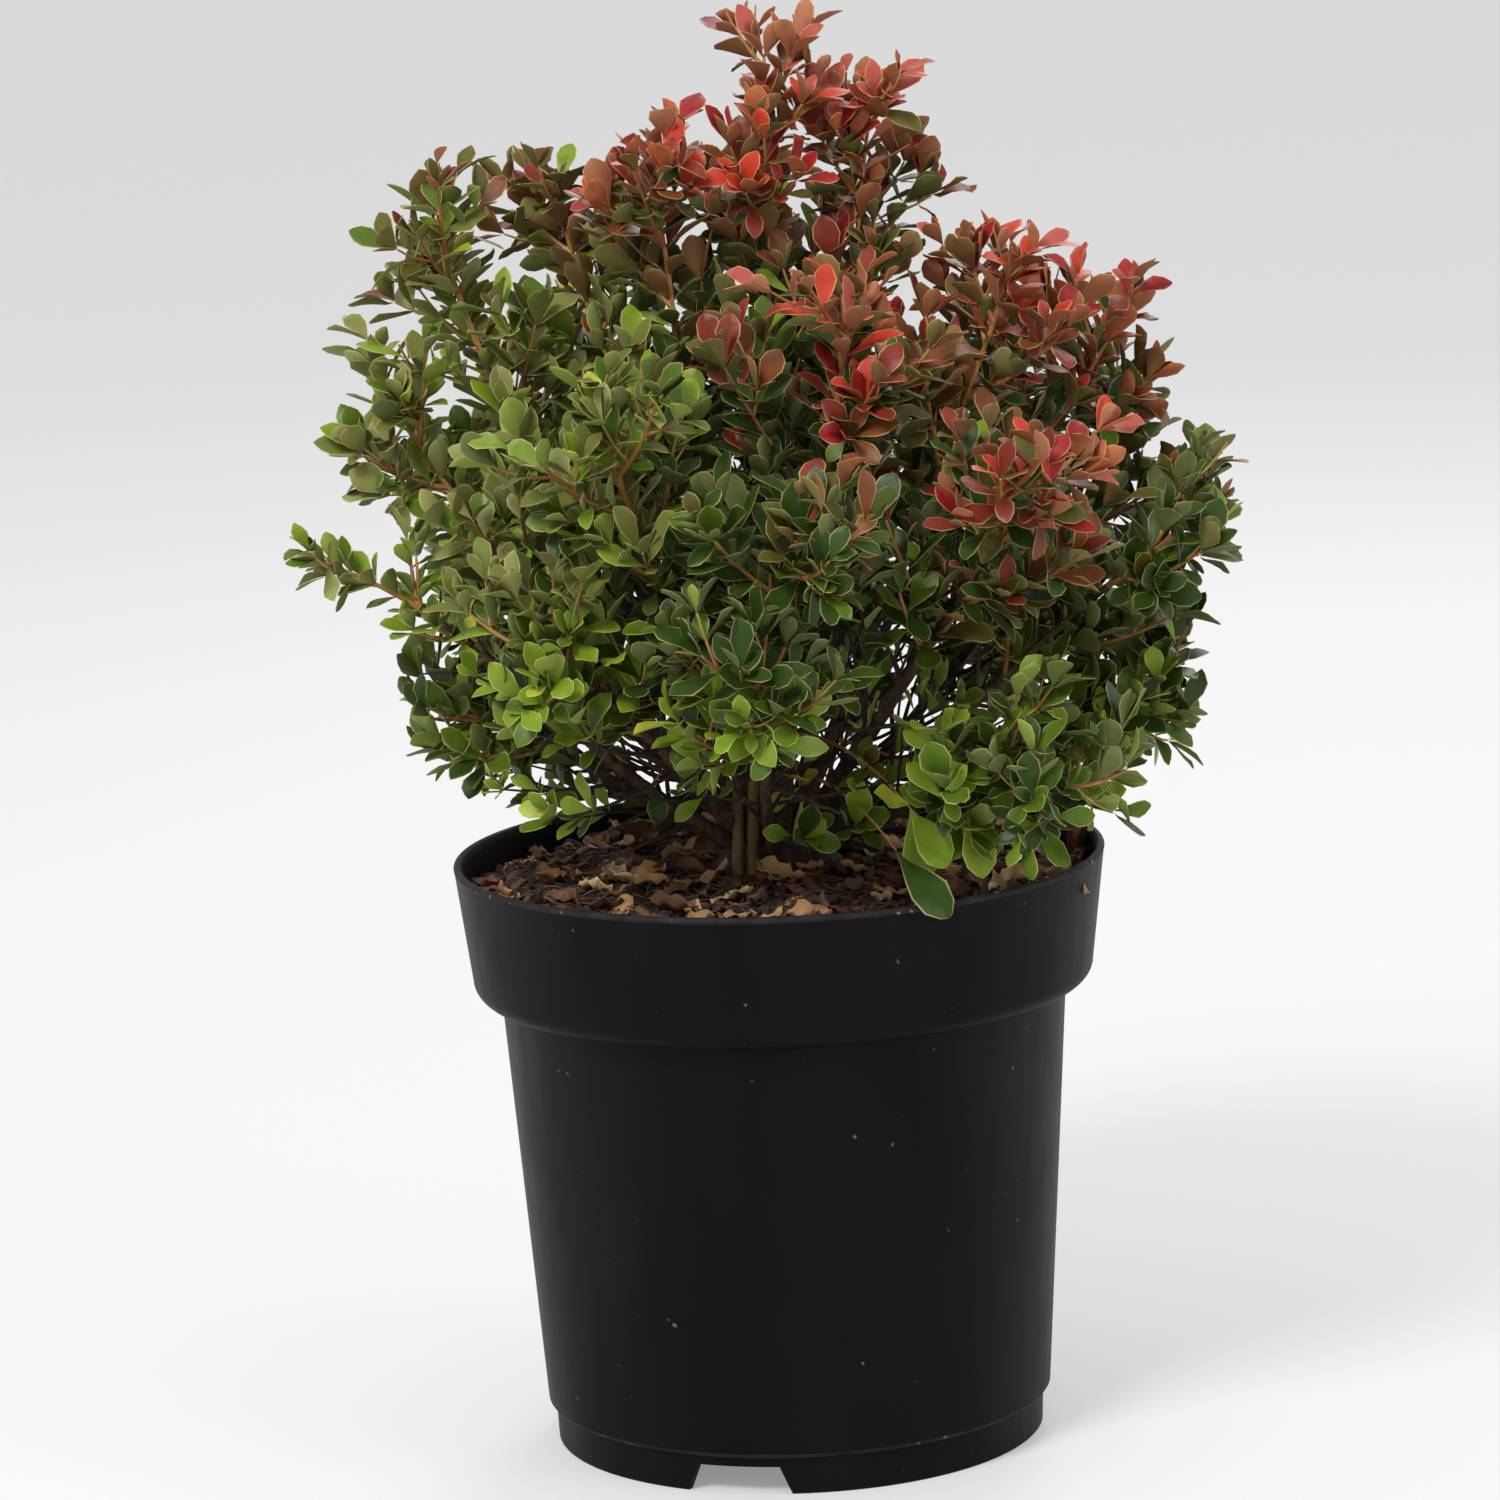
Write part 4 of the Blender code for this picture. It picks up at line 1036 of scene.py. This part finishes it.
    def build_root_crown(self) -> None:
        """The short stem: a dome with flared roots and cracked bark, on its flat cut."""
        rows, columns = 40, 72
        t = np.linspace(0.0, 1.0, rows)[:, None]
        around = (math.tau * np.arange(columns) / columns)[None]
        angle = t * math.pi / 2
        flare = self.crown_flare * np.exp(-t * 7.0)
        x = (self.crown_radius * np.cos(angle) + flare) * np.cos(around)
        y = (self.crown_radius * np.cos(angle) + flare) * np.sin(around)
        z = np.broadcast_to(self.crown_base + self.crown_radius * np.sin(angle), x.shape)
        points = np.stack((x, y, z), axis=-1)
        lumps = 0.10 * layered_noise(points, 11 * MM, 5.0) + 0.06 * np.sin(7 * around)
        points = self.centre + (points - self.centre) * (1.0 + lumps * np.minimum(t * 6.0, 1.0))[..., None]
        vertices = np.concatenate((points[:-1].reshape(-1, 3), points[-1:].mean(axis=1), [self.centre]))
        quads = grid_faces(rows - 1, columns).tolist()
        top = len(vertices) - 2
        last = (rows - 2) * columns
        fans = [(last + a, last + (a + 1) % columns, top) for a in range(columns)]
        fans += [((a + 1) % columns, a, top + 1) for a in range(columns)]
        bark = Finish("old_bark", srgb(70, 52, 40), srgb(34, 25, 20), 0.85, 0.1, 300.0, 0.4, 0.8, 0.8 * MM)
        piece = make_object("stem", vertices, quads + fans, [bark.build(self.shades)])
        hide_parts("root_crown")

    def build(self) -> None:
        """Grow and build the whole plant."""
        self.grow()
        self.hang_twigs()
        self.build_root_crown()
        self.build_stubs()
        self.build_boughs()
        self.build_twigs()
        self.build_leaves()
        self.build_loose_leaves()


@dataclass
class Pot:
    """The nursery pot, a turned shell whose foot ring has three notches."""

    shades: Shades
    height: float = 201.0 * MM
    wall: float = 1.6 * MM
    rim_radius: float = 110.0 * MM
    rim_bead: float = 2.6 * MM
    collar_height: float = 46.0 * MM
    collar_low_radius: float = 105.0 * MM
    collar_edge: float = 6.5 * MM
    body_top_radius: float = 95.6 * MM
    body_low_radius: float = 86.0 * MM
    foot_radius: float = 83.0 * MM
    foot_height: float = 12.5 * MM
    foot_wall: float = 3.0 * MM
    base_low: float = 9.8 * MM
    base_top: float = 12.0 * MM
    notches: int = 3
    notch_turn: float = math.radians(-105.0)
    notch_height: float = 9.4 * MM
    notch_top_width: float = 28.0 * MM
    notch_foot_width: float = 36.0 * MM
    columns: int = 216
    drain_radius: float = 7.0 * MM
    drain_place: float = 60.0 * MM

    def profile(self) -> Array:
        """The section: under the base, up the outside, over the rim and down the inside."""
        low = self.height - self.collar_height
        turn = np.radians(np.linspace(-90.0, 0.0, 9))
        edge_radius = self.collar_low_radius - self.collar_edge
        edge = [(edge_radius + self.collar_edge * math.cos(a), low + self.collar_edge * (1 + math.sin(a)))
                for a in turn]
        crease = [(self.body_top_radius, low - 0.6 * MM), (self.body_top_radius + 0.35 * MM, low - 0.1 * MM),
                  (self.body_top_radius + 1.0 * MM, low)]
        bead_turn = np.radians(np.linspace(-35.0, 160.0, 12))
        bead = 0.5 * self.rim_bead
        rim = [(self.rim_radius - bead + bead * math.cos(a), self.height - bead + bead * math.sin(a))
               for a in bead_turn]
        foot = [
            (self.foot_radius - self.foot_wall, 0.0),
            (self.foot_radius - 0.5 * MM, 0.0),
            (self.foot_radius, 0.5 * MM),
            (self.foot_radius + 0.5 * MM, self.foot_height - 0.8 * MM),
            (self.foot_radius + 0.6 * MM, self.foot_height),
            (self.body_low_radius - 0.8 * MM, self.foot_height + 1.0 * MM),
            (self.body_low_radius, self.foot_height + 2.0 * MM),
        ]
        inside = [
            (self.rim_radius - self.rim_bead - 0.4 * MM, self.height - self.rim_bead),
            (self.collar_low_radius - self.wall, low + self.collar_edge),
            (self.body_top_radius + 1.0 * MM, low + self.wall),
            (self.body_top_radius - self.wall, low - 0.5 * MM),
            (self.body_low_radius - self.wall, self.foot_height + 2.0 * self.wall),
            (self.foot_radius - self.wall, self.base_top),
            (0.0, self.base_top),
        ]
        underside = [(0.0, self.base_low), (self.foot_radius - self.foot_wall, self.base_low)]
        return np.array(underside + foot + crease + edge + rim + inside)

    def angles(self) -> Array:
        """Even columns round the pot, and one at each corner of each notch."""
        corners = []
        for notch in range(self.notches):
            middle = self.notch_turn + math.tau * notch / self.notches
            for width in (self.notch_top_width, self.notch_foot_width):
                corners += [middle - 0.5 * width / self.foot_radius, middle + 0.5 * width / self.foot_radius]
        even = math.tau * np.arange(self.columns) / self.columns
        joined = np.sort(np.mod(np.concatenate((even, corners)), math.tau))
        keep = np.diff(joined, prepend=-1.0) > 0.004
        return joined[keep]

    def notch_lift(self, angles: Array) -> Array:
        """Height of the notches' edge over the floor: a trapezoid round each middle."""
        lift = np.zeros_like(angles)
        for notch in range(self.notches):
            middle = self.notch_turn + math.tau * notch / self.notches
            away = np.abs((angles - middle + math.pi) % math.tau - math.pi) * self.foot_radius
            slope = (0.5 * self.notch_foot_width - away) / (0.5 * (self.notch_foot_width - self.notch_top_width))
            lift = np.maximum(lift, np.clip(slope, 0.0, 1.0) * self.notch_height)
        return lift

    def cut_drains(self, shell: bpy.types.Object) -> None:
        """Cut the drainage holes through the base: one in the middle and a ring round it.

        Args:
            shell: The pot's piece, whose mesh is changed.
        """
        turn = self.notch_turn + math.tau * np.arange(self.notches) / self.notches
        places = np.stack((np.cos(turn), np.sin(turn)), axis=-1) * self.drain_place
        places = np.concatenate((places, np.zeros((1, 2))))
        sides = 24
        around = math.tau * np.arange(sides) / sides
        for place in places:
            ring = place + self.drain_radius * np.stack((np.cos(around), np.sin(around)), axis=-1)
            ends = [np.column_stack((ring, np.full(sides, level)))
                    for level in (self.base_low - self.wall, self.base_top + self.wall)]
            mesh = bpy.data.meshes.new("drain")
            faces = grid_faces(2, sides).tolist() + [list(range(sides))[::-1], list(range(sides, 2 * sides))]
            mesh.from_pydata(np.concatenate(ends).tolist(), [], faces)
            cutter = bpy.data.objects.new("drain", mesh)
            bpy.context.scene.collection.objects.link(cutter)
            cut = shell.modifiers.new("drain", "BOOLEAN")
            cut.object = cutter
            cut.solver = "EXACT"
            bpy.context.view_layer.update()
            done = bpy.data.meshes.new_from_object(shell.evaluated_get(bpy.context.evaluated_depsgraph_get()))
            shell.modifiers.clear()
            shell.data = done
            bpy.data.objects.remove(cutter)
        shell.data.set_sharp_from_angle(angle=math.radians(32.0))

    def build(self) -> bpy.types.Object:
        """Turn the section round, lift the foot's edge in the notches and cut the drains."""
        profile = self.profile()
        angles = self.angles()
        middle = profile[1:-1]
        radius = middle[:, :1] * np.ones_like(angles)
        height = np.maximum(middle[:, 1:], 0.0) * np.ones_like(angles)
        lift = self.notch_lift(angles)
        edge = middle[:, 1:] < self.notch_height
        height = np.where(edge, np.maximum(height, lift), height)
        cosine, sine = np.cos(angles), np.sin(angles)
        points = np.stack((radius * cosine, radius * sine, height), axis=-1)
        ripple = 0.12 * MM * layered_noise(points, 60 * MM, 3.0)
        flat = (middle[:, 1:] > self.foot_height) & (middle[:, 1:] < self.height - 4 * MM)
        points[..., :2] *= (1.0 + np.where(flat, ripple, 0.0) / self.foot_radius)[..., None]
        rows, columns = radius.shape
        vertices = np.concatenate((points.reshape(-1, 3), [(0, 0, self.base_low)], [(0, 0, self.base_top)]))
        faces = grid_faces(rows, columns).tolist()
        low, high = len(vertices) - 2, len(vertices) - 1
        last = (rows - 1) * columns
        faces += [(low, a, (a + 1) % columns)[::-1] for a in range(columns)]
        faces += [(last + a, last + (a + 1) % columns, high) for a in range(columns)]
        plain = Finish("pot_plastic", srgb(11, 8, 10), srgb(17, 14, 16), 0.46, 0.08, 26.0, 0.35, 0.12, 0.25 * MM,
                       0.06, srgb(104, 92, 84), 260.0, 0.775)
        worn = Finish("pot_worn", srgb(40, 36, 38), srgb(26, 23, 25), 0.6, 0.08, 150.0, 1.0, 0.2, 0.25 * MM,
                      0.1, srgb(112, 104, 98), 330.0, 0.69)
        slots = np.zeros(len(faces), int)
        for row, (low, high) in enumerate(zip(middle[:-1], middle[1:])):
            on_step = low[1] >= self.foot_height and high[1] <= self.foot_height + 2.1 * MM
            on_rim = low[1] > self.height - self.rim_bead and low[0] > self.rim_radius - self.rim_bead
            slots[row * columns : (row + 1) * columns] = int(on_step or on_rim)
        materials = [plain.build(self.shades), worn.build(self.shades)]
        piece = make_object("pot_shell", vertices, faces, materials, slots, 32.0)
        self.cut_drains(piece)
        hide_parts("pot")
        return piece


@dataclass
class Soil:
    """Potting soil with bark chips, fibres and fallen leaves on it."""

    shades: Shades
    edge_radius: float = 106.0 * MM
    edge_height: float = 189.0 * MM
    mound: float = 7.0 * MM
    seat: float = 24.5 * MM
    seed: int = 77

    def surface_height(self, x: Array, y: Array) -> Array:
        """Height of the soil's smooth top: edge + mound * cos(share * pi / 2)."""
        radius = np.hypot(x, y)
        share = np.clip((radius - self.seat) / (self.edge_radius - self.seat), 0.0, 1.0)
        return self.edge_height + self.mound * np.cos(share * math.pi / 2)

    def crumbs(self, x: Array, y: Array) -> Array:
        """Height of crumbs and hollows over the smooth top, level under the plant's seat."""
        radius = np.hypot(x, y)
        points = np.stack((x, y, np.zeros_like(x)), axis=-1)
        rough = 1.6 * lattice_noise(points, 14 * MM, 1.0) + 1.5 * np.abs(lattice_noise(points, 6 * MM, 2.0))
        rough = rough + 1.2 * np.abs(lattice_noise(points, 3 * MM, 3.0)) + 0.6 * lattice_noise(points, 1.6 * MM, 5.0)
        fade = np.clip((radius - self.seat) / (8 * MM), 0.0, 1.0)
        return (rough - 0.9) * MM * fade

    def build_surface(self) -> None:
        """A closed plug of soil: top grid of radius and angle, and a skirt down the wall."""
        rows, columns = 110, 300
        radius = np.linspace(1.0, 0.004, rows)[:, None] * self.edge_radius
        around = (math.tau * np.arange(columns) / columns)[None]
        x, y = radius * np.cos(around), radius * np.sin(around)
        z = self.surface_height(x, y) + self.crumbs(x, y)
        top = np.stack((x, y, z), axis=-1)
        skirt = top[:1] * (0.965, 0.965, 1.0)
        skirt[..., 2] = self.edge_height - 25 * MM
        vertices = np.concatenate((skirt.reshape(-1, 3), top.reshape(-1, 3)))
        low, high = len(vertices), len(vertices) + 1
        vertices = np.concatenate((vertices, [(0, 0, skirt[0, 0, 2])], [(0, 0, z[-1].mean())]))
        faces = grid_faces(rows + 1, columns).tolist()
        last = rows * columns
        faces += [((a + 1) % columns, a, low) for a in range(columns)]
        faces += [(last + a, last + (a + 1) % columns, high) for a in range(columns)]
        finish = Finish("compost", srgb(62, 44, 34), srgb(30, 21, 18), 0.9, 0.08, 260.0, 1.0, 0.9, 0.9 * MM, 0.3,
                        srgb(120, 84, 58), 420.0, 0.68)
        piece = make_object("soil_top", vertices, faces, [finish.build(self.shades)], sharp=75.0)
        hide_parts("soil")

    def scatter(self, rng: np.random.Generator, count: int) -> tuple[Array, Array]:
        """Places on the soil, even over its area, with the height of its top there."""
        radius = np.sqrt(rng.uniform(0.05, 0.93, count)) * self.edge_radius
        around = rng.uniform(0.0, math.tau, count)
        x, y = radius * np.cos(around), radius * np.sin(around)
        return np.stack((x, y, self.surface_height(x, y) + self.crumbs(x, y)), axis=-1), around

    @staticmethod
    def random_frames(rng: np.random.Generator, count: int, tilt: float) -> Array:
        """Turned frames whose third axis leans from upright by up to tilt."""
        up = unit(np.concatenate((rng.normal(0, tilt, (count, 2)), np.ones((count, 1))), axis=1))
        turn = rng.uniform(0.0, math.tau, count)
        ahead = np.stack((np.cos(turn), np.sin(turn), np.zeros(count)), axis=-1)
        across = unit(np.cross(ahead, up))
        return np.stack((across, np.cross(up, across), up), axis=1)

    def build_chips(self) -> None:
        """Bark chips: rough lozenges, each a closed ring of eight with a top and an underside."""
        kinds = {
            "chips_dark": (1100, (1.6, 4.6), Finish("chip_dark", srgb(54, 38, 30), srgb(30, 22, 18), 0.85)),
            "chips_brown": (420, (2.0, 5.6), Finish("chip_brown", srgb(98, 66, 44), srgb(60, 40, 28), 0.8)),
            "chips_red": (130, (2.0, 6.0), Finish("chip_red", srgb(124, 68, 40), srgb(86, 46, 28), 0.75)),
        }
        for number, (name, (count, sizes, finish)) in enumerate(kinds.items()):
            rng = np.random.default_rng(self.seed + number)
            places, _ = self.scatter(rng, count)
            around = math.tau * np.arange(8) / 8
            size = rng.uniform(*sizes, (count, 1)) * MM
            stretch = rng.uniform(0.35, 0.8, (count, 1))
            ragged = rng.uniform(0.72, 1.25, (count, 8))
            x = size * ragged * np.cos(around)
            y = size * stretch * ragged * np.sin(around)
            thick = size * rng.uniform(0.12, 0.3, (count, 1))
            ring = np.stack((x, y, np.broadcast_to(0.0 * thick, x.shape)), axis=-1)
            top = ring * (0.7, 0.7, 1.0) + np.stack((0 * x, 0 * x, thick * rng.uniform(0.6, 1.4, x.shape)), axis=-1)
            low = ring * (0.7, 0.7, 1.0) - np.stack((0 * x, 0 * x, np.broadcast_to(thick, x.shape)), axis=-1)
            crest = np.stack((0 * thick, 0 * thick, thick), axis=-1)
            shell = np.concatenate((low, ring, top, crest, -crest), axis=1)
            frame = self.random_frames(rng, count, 0.45)
            points = places[:, None] + shell @ frame + np.array((0, 0, 0.2 * MM))
            quads = grid_faces(3, 8)
            a = np.arange(8)
            b = (a + 1) % 8
            fans = np.concatenate((np.stack((16 + a, 16 + b, 24 + 0 * a), axis=-1),
                                   np.stack((b, a, 25 + 0 * a), axis=-1)))
            faces = repeat_faces(quads, count, 26).tolist() + repeat_faces(fans, count, 26).tolist()
            piece = make_object(name, points, faces, [finish.build(self.shades)], sharp=30.0)

    def build_fibres(self) -> None:
        """Dry roots and fibres: thin tubes that wind over the soil."""
        rng = np.random.default_rng(self.seed + 9)
        count, steps = 420, 9
        places, _ = self.scatter(rng, count)
        turn = rng.uniform(0.0, math.tau, (count, 1)) + np.cumsum(rng.normal(0.0, 0.35, (count, steps)), axis=1)
        stride = rng.uniform(0.8, 2.8, (count, 1, 1)) * MM
        walk = np.cumsum(np.stack((np.cos(turn), np.sin(turn)), axis=-1) * stride, axis=1)
        x = places[:, :1] + walk[..., 0]
        y = places[:, 1:2] + walk[..., 1]
        inside = np.hypot(x, y).max(axis=1) < self.edge_radius - 3 * MM
        t = np.linspace(-1.0, 1.0, steps)
        lift = rng.uniform(0.3, 3.2, (count, 1)) * MM * (1 - t**2) + 0.5 * MM
        z = self.surface_height(x, y) + self.crumbs(x, y) * 0.6 + lift
        paths = np.stack((x, y, z), axis=-1)[inside]
        radii = np.broadcast_to(rng.uniform(0.15, 0.5, (len(paths), 1)) * MM, paths.shape[:2])
        radii = radii * (1.0 - 0.75 * np.abs(t) ** 3)
        finish = Finish("fibre", srgb(104, 76, 54), srgb(56, 40, 30), 0.8)
        piece = make_object("soil_fibres", tube_points(paths, radii, 4), tube_faces(len(paths), steps, 4),
                            [finish.build(self.shades)])

    def build_dead_leaves(self) -> None:
        """Fallen leaves, curled and folded: u along, v across, rolled about their length."""
        kinds = {
            "fallen_tan": (64, Finish("fallen_tan", srgb(178, 140, 96), srgb(142, 104, 66), 0.7, bump=0.5)),
            "fallen_pale": (26, Finish("fallen_pale", srgb(206, 178, 136), srgb(170, 136, 94), 0.7, bump=0.5)),
            "fallen_brown": (90, Finish("fallen_brown", srgb(106, 72, 48), srgb(72, 48, 34), 0.75, bump=0.5)),
        }
        rows, columns = 9, 7
        u = np.linspace(0.0, 1.0, rows)[None, :, None]
        v = np.linspace(-1.0, 1.0, columns)[None, None, :]
        for number, (name, (count, finish)) in enumerate(kinds.items()):
            rng = np.random.default_rng(self.seed + 20 + number)
            places, _ = self.scatter(rng, count)
            length = rng.uniform(9.0, 19.0, (count, 1, 1)) * MM
            half = length * rng.uniform(0.26, 0.38, (count, 1, 1)) * (0.04 + np.sin(math.pi * u**1.4) ** 0.8)
            roll = rng.uniform(0.3, 1.5, (count, 1, 1)) * v + rng.normal(0, 0.2, (count, 1, 1))
            x = half * np.sin(roll * 1.0) / np.maximum(np.abs(roll), 0.05) * np.abs(v)
            y = length * (u - 0.5) + 0 * v
            curl = rng.uniform(-0.5, 0.9, (count, 1, 1))
            z = half * (1 - np.cos(roll)) * 0.9 + curl * length * (u - 0.5) ** 2
            z = z + 0.06 * length * np.sin(5 * u * math.pi + 2 * v + rng.uniform(0, 6, (count, 1, 1)))
            sheet = np.stack((x, y, z), axis=-1)
            thin = np.array((0.0, 0.0, 0.28 * MM))
            shell = np.concatenate((sheet.reshape(count, -1, 3), (sheet - thin).reshape(count, -1, 3)), axis=1)
            frame = self.random_frames(rng, count, 0.35)
            points = places[:, None] + shell @ frame + np.array((0, 0, 2.2 * MM))
            top = grid_faces(rows, columns, closed=False)
            size = rows * columns
            rim = [r * columns for r in range(rows)] + [(rows - 1) * columns + c for c in range(1, columns)]
            rim += [r * columns + columns - 1 for r in range(rows - 2, -1, -1)] + list(range(columns - 2, 0, -1))
            rim = np.array(rim)
            after = np.roll(rim, -1)
            wall = np.stack((rim, after, after + size, rim + size), axis=-1)
            quads = np.concatenate((top, top[:, ::-1] + size, wall))
            faces = repeat_faces(quads, count, 2 * size).tolist()
            piece = make_object(name, points, faces, [finish.build(self.shades)], sharp=50.0)

    def build(self) -> None:
        """Build the soil and all that lies on it."""
        self.build_surface()
        self.build_chips()
        self.build_fibres()
        self.build_dead_leaves()


@dataclass
class Studio:
    """Pale floor, soft light, and a camera at the photograph's angle."""

    distance: float = 2.13537
    height: float = 0.63344
    yaw: float = -0.0039
    pitch: float = 0.18423
    roll: float = -0.04008
    lens: float = 154.7
    sensor: float = 36.0

    def build_camera(self) -> None:
        """Stand the camera where the photograph was taken from."""
        ahead = Vector((math.sin(self.yaw) * math.cos(self.pitch), math.cos(self.yaw) * math.cos(self.pitch),
                        -math.sin(self.pitch)))
        level = ahead.cross(Vector((0, 0, 1))).normalized()
        upward = level.cross(ahead)
        right = level * math.cos(self.roll) + upward * math.sin(self.roll)
        top = upward * math.cos(self.roll) - level * math.sin(self.roll)
        data = bpy.data.cameras.new("camera")
        data.lens = self.lens
        data.sensor_width = self.sensor
        data.clip_start = 0.05
        camera = bpy.data.objects.new("camera", data)
        bpy.context.scene.collection.objects.link(camera)
        matrix = Matrix((right, top, -ahead)).transposed().to_4x4()
        matrix.translation = Vector((0.0, -self.distance, self.height))
        camera.matrix_world = matrix
        bpy.context.scene.camera = camera

    def build_floor(self) -> None:
        """A wide pale disc under the pot."""
        columns = 96
        around = math.tau * np.arange(columns) / columns
        rings = np.array((0.2, 1.0, 4.0, 14.0))[:, None]
        x, y = rings * np.cos(around), rings * np.sin(around)
        points = np.stack((x, y, np.zeros_like(x)), axis=-1).reshape(-1, 3)
        points = np.concatenate((points, np.zeros((1, 3))))
        faces = [face[::-1] for face in grid_faces(4, columns).tolist()]
        faces += [(a, (a + 1) % columns, len(points) - 1) for a in range(columns)]
        mesh = bpy.data.meshes.new("floor")
        mesh.from_pydata(points.tolist(), [], faces)
        floor = bpy.data.objects.new("floor", mesh)
        material = bpy.data.materials.new("pale_floor")
        material.use_nodes = True
        shader = material.node_tree.nodes["Principled BSDF"]
        shader.inputs["Base Color"].default_value = (0.42, 0.42, 0.42, 1.0)
        shader.inputs["Emission Color"].default_value = (1.0, 1.0, 1.0, 1.0)
        shader.inputs["Emission Strength"].default_value = 0.27
        shader.inputs["Roughness"].default_value = 0.8
        mesh.materials.append(material)
        bpy.context.scene.collection.objects.link(floor)

    @staticmethod
    def add_area(name: str, place: Vector, target: Vector, size: float, power: float) -> None:
        """Add a soft lamp that faces a point."""
        data = bpy.data.lights.new(name, "AREA")
        data.shape = "DISK"
        data.size = size
        data.energy = power
        lamp = bpy.data.objects.new(name, data)
        turn = (target - place).to_track_quat("-Z", "Y").to_matrix().to_4x4()
        turn.translation = place
        lamp.matrix_world = turn
        bpy.context.scene.collection.objects.link(lamp)

    def build(self) -> None:
        """Set up the camera, the floor, the lamps and the sky."""
        self.build_camera()
        self.build_floor()
        middle = Vector((0.0, 0.0, 0.27))
        self.add_area("key_lamp", Vector((-0.9, -1.5, 2.0)), middle, 0.8, 48.0)
        self.add_area("fill_lamp", Vector((1.7, -1.0, 1.1)), middle, 1.2, 10.0)
        self.add_area("back_lamp", Vector((0.5, 1.8, 1.6)), middle, 1.0, 14.0)
        world = bpy.data.worlds.new("studio")
        bpy.context.scene.world = world
        world.use_nodes = True
        sky = world.node_tree.nodes["Background"]
        sky.inputs["Color"].default_value = (1.0, 1.0, 1.0, 1.0)
        sky.inputs["Strength"].default_value = 0.90
        bpy.context.scene.view_settings.view_transform = "Standard"


def corners(bounds: tuple) -> list[list[float]]:
    """Turn a box into plain lists of numbers."""
    return [[float(value) for value in corner] for corner in bounds]


def main() -> None:
    """Load the frame and build every piece."""
    logging.basicConfig(level=logging.INFO, format="%(name)s: %(message)s")
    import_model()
    Studio().build()
    shades = Shades()
    Pot(shades).build()
    Soil(shades).build()
    Shrub(shades).build()
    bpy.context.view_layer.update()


if __name__ == "__main__":
    main()
